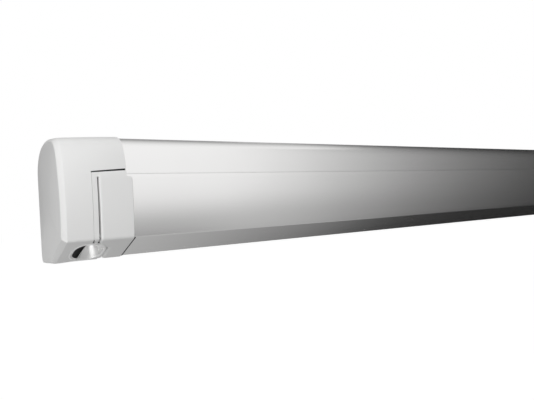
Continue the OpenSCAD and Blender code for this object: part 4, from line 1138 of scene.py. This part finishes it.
FABRIC_E = 82.0
FABRIC_HALF = HALF_L - FABRIC_E
ROLL_MID = (-46.0, 42.0)
ROLL_R = 29.0
CORE_R = 24.0
CORE_CLEAR = 0.02
PITCH = radians(10)
OUT = (-cos(PITCH), -sin(PITCH))
DOWN = (sin(PITCH), -cos(PITCH))
CLOTH_MID = ROLL_R + 0.6
CLOTH_RUN = 41.0
CLOTH_SHOWN_T = 0.48
CLOTH_STEPS = 96
CLOTH_COLUMNS = 60
ROLL_TURNS = 8
ROLL_SIDES = 64
ROLL_STEPS = 48
ROLL_CLEAR = 0.12
ROLL_WAVE = 0.05
ROLL_WAVES = ((5, 0.011), (2, 0.037))
ROLL_LAYER_STEP = 0.35
ROLL_SHARP_ANGLE = radians(40)


def add_canopy():
    """Free stretch of cloth at rest, a flat sheet that leaves the roll towards the lead rail."""
    count = CLOTH_COLUMNS + 1
    verts = []
    for s in spaced(0.0, CLOTH_RUN, CLOTH_STEPS):
        y = ROLL_MID[0] + s * OUT[0] + CLOTH_MID * DOWN[0]
        z = ROLL_MID[1] + s * OUT[1] + CLOTH_MID * DOWN[1]
        verts += [Vector((-FABRIC_HALF * (1 - 2 * j / CLOTH_COLUMNS), y, z)) * MM for j in range(count)]
    faces = grid_faces(CLOTH_STEPS + 1, count, closed=False)
    piece = new_piece("canopy_sheet", verts, faces, "cloth")
    wall = piece.modifiers.new("cloth", "SOLIDIFY")
    wall.thickness = CLOTH_SHOWN_T * MM
    wall.offset = 0.0
    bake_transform(piece)
    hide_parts("canopy_fabric")


def roll_point(x, radius, turn):
    return Vector((x, ROLL_MID[0] + radius * cos(turn), ROLL_MID[1] + radius * sin(turn))) * MM


def add_roll():
    """Wound cloth: its layers show as a spiral on the roll's ends, and the outer turn is slightly uneven."""
    turns = [2 * pi * j / ROLL_SIDES for j in range(ROLL_SIDES)]
    outer_r = ROLL_R - ROLL_CLEAR
    layers = 2 * ROLL_TURNS
    verts = []
    for x in spaced(-FABRIC_HALF, FABRIC_HALF, ROLL_STEPS):
        for a in turns:
            uneven = sum(ROLL_WAVE * sin(round_it * a + along * x) for round_it, along in ROLL_WAVES)
            verts.append(roll_point(x, outer_r + uneven, a))
    faces = grid_faces(ROLL_STEPS + 1, ROLL_SIDES)
    for end, first in ((-1, 0), (1, ROLL_STEPS * ROLL_SIDES)):
        previous = range(first, first + ROLL_SIDES)
        for k in range(1, layers + 1):
            ring = range(len(verts), len(verts) + ROLL_SIDES)
            x = end * (FABRIC_HALF - (ROLL_LAYER_STEP if k % 2 else 0.0))
            for j, a in enumerate(turns):
                layer = k + (j / ROLL_SIDES if k < layers else 0.0)
                radius = max(outer_r - (ROLL_R - CORE_R) * layer / layers, CORE_R + CORE_CLEAR)
                verts.append(roll_point(x, radius, a))
            faces += band_faces(previous, ring)
            previous = ring
    piece = new_piece("roll_of_cloth", verts, faces, "cloth")
    piece.data.set_sharp_from_angle(angle=ROLL_SHARP_ANGLE)
    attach(piece, "roller")
    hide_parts("fabric_roll")


# Stage and light, in metres

WHITE = (1, 1, 1, 1)
FLOOR_Z = -1.96
FLOOR_HALF = 40.0
FLOOR_COLOUR = (0.62, 0.62, 0.62, 1)
FLOOR_LIFT = (2.5, 5.0, 0.71, 0.88)
AMBIENT = 0.20
LEFT_END = (-0.9, -0.06, 0.0)
LEFT_FACE = (-0.92, -0.06, 0.0)
RIGHT_FACE = (0.92, -0.06, 0.0)
MIDDLE = (0.0, 0.0, 0.0)


def empty_graph(holder):
    """Cleared nodes of a material or a world."""
    holder.use_nodes = True
    holder.node_tree.nodes.clear()
    return Graph(holder.node_tree)


def seen_directly(graph):
    """1 for what the camera, a reflection or a clear material sees, 0 for light on its way to the object."""
    path = graph.add("ShaderNodeLightPath").outputs
    seen = calculate(graph, "MAXIMUM", path["Is Camera Ray"], path["Is Glossy Ray"])
    return calculate(graph, "MAXIMUM", seen, path["Is Transmission Ray"])


def add_flat(name, low, high):
    """Rectangle of the stage that is flat in one direction, from its lowest and highest corners."""
    a, b = [i for i in range(3) if low[i] != high[i]]
    corners = [list(low) for _ in range(4)]
    for i, axis in ((1, a), (2, a), (2, b), (3, b)):
        corners[i][axis] = high[axis]
    mesh = bpy.data.meshes.new(name)
    mesh.from_pydata(corners, [], [(0, 1, 2, 3)])
    flat = bpy.data.objects.new(name, mesh)
    scene.collection.objects.link(flat)
    material = bpy.data.materials.new(name)
    material.cycles.emission_sampling = "NONE"
    mesh.materials.append(material)
    return flat, empty_graph(material)


def add_floor():
    """Pale floor that takes the object's shadow and is lifted towards white where it is seen."""
    graph = add_flat("floor", (-FLOOR_HALF, -FLOOR_HALF, FLOOR_Z), (FLOOR_HALF, FLOOR_HALF, FLOOR_Z))[1]
    pale = graph.add("ShaderNodeBsdfDiffuse", {"Color": FLOOR_COLOUR})
    where = graph.add("ShaderNodeTexCoord").outputs["Object"]
    away = graph.add("ShaderNodeVectorMath", {0: where}, operation="LENGTH").outputs["Value"]
    lift = calculate(graph, "MULTIPLY", seen_directly(graph), soft_step(graph, away, *FLOOR_LIFT))
    white = graph.add("ShaderNodeEmission", {"Color": WHITE, "Strength": lift})
    both = graph.add("ShaderNodeAddShader", {0: pale.outputs[0], 1: white.outputs[0]})
    graph.add("ShaderNodeOutputMaterial", {"Surface": both.outputs[0]})


def set_world():
    """White where it is seen, and a low even light on the object."""
    scene.world = bpy.data.worlds.new("studio")
    graph = empty_graph(scene.world)
    ambient = graph.add("ShaderNodeBackground", {"Color": WHITE, "Strength": AMBIENT})
    white = graph.add("ShaderNodeBackground", {"Color": WHITE, "Strength": 1.0})
    shaders = {0: seen_directly(graph), 1: ambient.outputs[0], 2: white.outputs[0]}
    both = graph.add("ShaderNodeMixShader", shaders)
    graph.add("ShaderNodeOutputWorld", {"Surface": both.outputs[0]})


def add_area(name, at, towards, size, power):
    """Soft lamp that lights the object without showing in the picture or in reflections."""
    data = bpy.data.lights.new(name, "AREA")
    data.shape = "RECTANGLE"
    data.size, data.size_y = size
    data.energy = power
    lamp = bpy.data.objects.new(name, data)
    lamp.location = at
    lamp.rotation_mode = "QUATERNION"
    lamp.rotation_quaternion = (Vector(towards) - Vector(at)).to_track_quat("-Z", "Y")
    lamp.visible_camera = False
    lamp.visible_glossy = False
    scene.collection.objects.link(lamp)


def add_card(name, low, high, centre=MIDDLE, radii=(0.0, 1.0), rim=(1.0, 1.0),
             heights=(0.0, 1.0, 1.0, 1.0)):
    """Studio card that only reflections see. Its level goes from rim's first value inside the first radius
    to the second outside the second, times a level that goes from one height to another."""
    card, graph = add_flat(name, low, high)
    where = graph.add("ShaderNodeTexCoord").outputs["Object"]
    away = graph.add("ShaderNodeVectorMath", {0: where, 1: centre}, operation="DISTANCE").outputs["Value"]
    height = graph.add("ShaderNodeSeparateXYZ", {"Vector": where}).outputs["Z"]
    shade = soft_step(graph, height, *heights)
    level = calculate(graph, "MULTIPLY", soft_step(graph, away, *radii, *rim), shade)
    glow = graph.add("ShaderNodeEmission", {"Color": WHITE, "Strength": level})
    graph.add("ShaderNodeOutputMaterial", {"Surface": glow.outputs[0]})
    card.visible_camera = False
    card.visible_diffuse = False
    card.visible_transmission = False
    card.visible_shadow = False


def add_lamps():
    add_area("key_softbox", at=(-1.61, -1.59, 1.41), towards=LEFT_END, size=(1.2, 1.0), power=24)
    for side, way, power in (("left", -1, 1.4), ("right", 1, 2.2)):
        end = (0.9 * way, -0.06, 0.0)
        add_area(f"{side}_front", at=(1.15 * way, -0.55, 0.35), towards=end, size=(0.3, 0.3), power=power)
        add_area(f"{side}_low", at=(1.15 * way, -0.55, -1.1), towards=end, size=(0.5, 0.5), power=1.0)
    add_area("right_fill", at=(1.40, -0.42, -0.42), towards=RIGHT_FACE, size=(0.3, 0.3), power=2.0)
    add_area("back_fill", at=(0.0, 2.0, 1.0), towards=MIDDLE, size=(2.4, 1.0), power=22)
    add_area("left_fill", at=(-1.42, -0.30, -0.46), towards=LEFT_FACE, size=(0.3, 0.3), power=1.65)


def add_cards():
    add_card("mouth_card", (-1.18, -0.29, -0.32), (-1.18, -0.13, -0.16), rim=(4.2, 4.2))
    add_card("right_card", (1.6, -6, -1.9), (1.6, 6, 6), centre=(1.6, 0.6, -0.25), radii=(1.2, 4.65),
             rim=(0.01, 1.0), heights=(-0.45, 0.25, 0.6, 1.0))
    add_card("low_front_card", (-10, -4, -1.9), (1.6, -4, 0.1), heights=(-0.75, 0.1, 0.35, 1.0))
    add_card("low_back_card", (-10, 4, -1.9), (1.6, 4, -0.1), heights=(-1.2, 0.1, 0.4, 0.9))
    add_card("back_card", (-4, 3.2, -0.15), (1.6, 3.2, 2.4), heights=(0.0, 3.2, 0.25, 0.45))
    add_card("roof_card", (-4, -0.6, 2.4), (1.6, 3.2, 2.4), centre=(0.8, 4.2, 2.4), radii=(1.2, 5.2),
             rim=(0.25, 1.0))
    add_card("low_card", (-5, -4, -1.9), (1.6, 4, -1.9), centre=(2.6, 1.8, -1.9), radii=(0.3, 3.2),
             rim=(0.02, 0.5))


add_camera()
set_world()
add_floor()
add_lamps()
add_cards()
dress_cad_nodes()
add_end_caps()
add_back_webs()
add_crank_mouth()
add_rail_caps()
add_gap_shade_strips()
add_rail_cap_shadow_strips()
add_extrusions()
add_roll()
add_canopy()
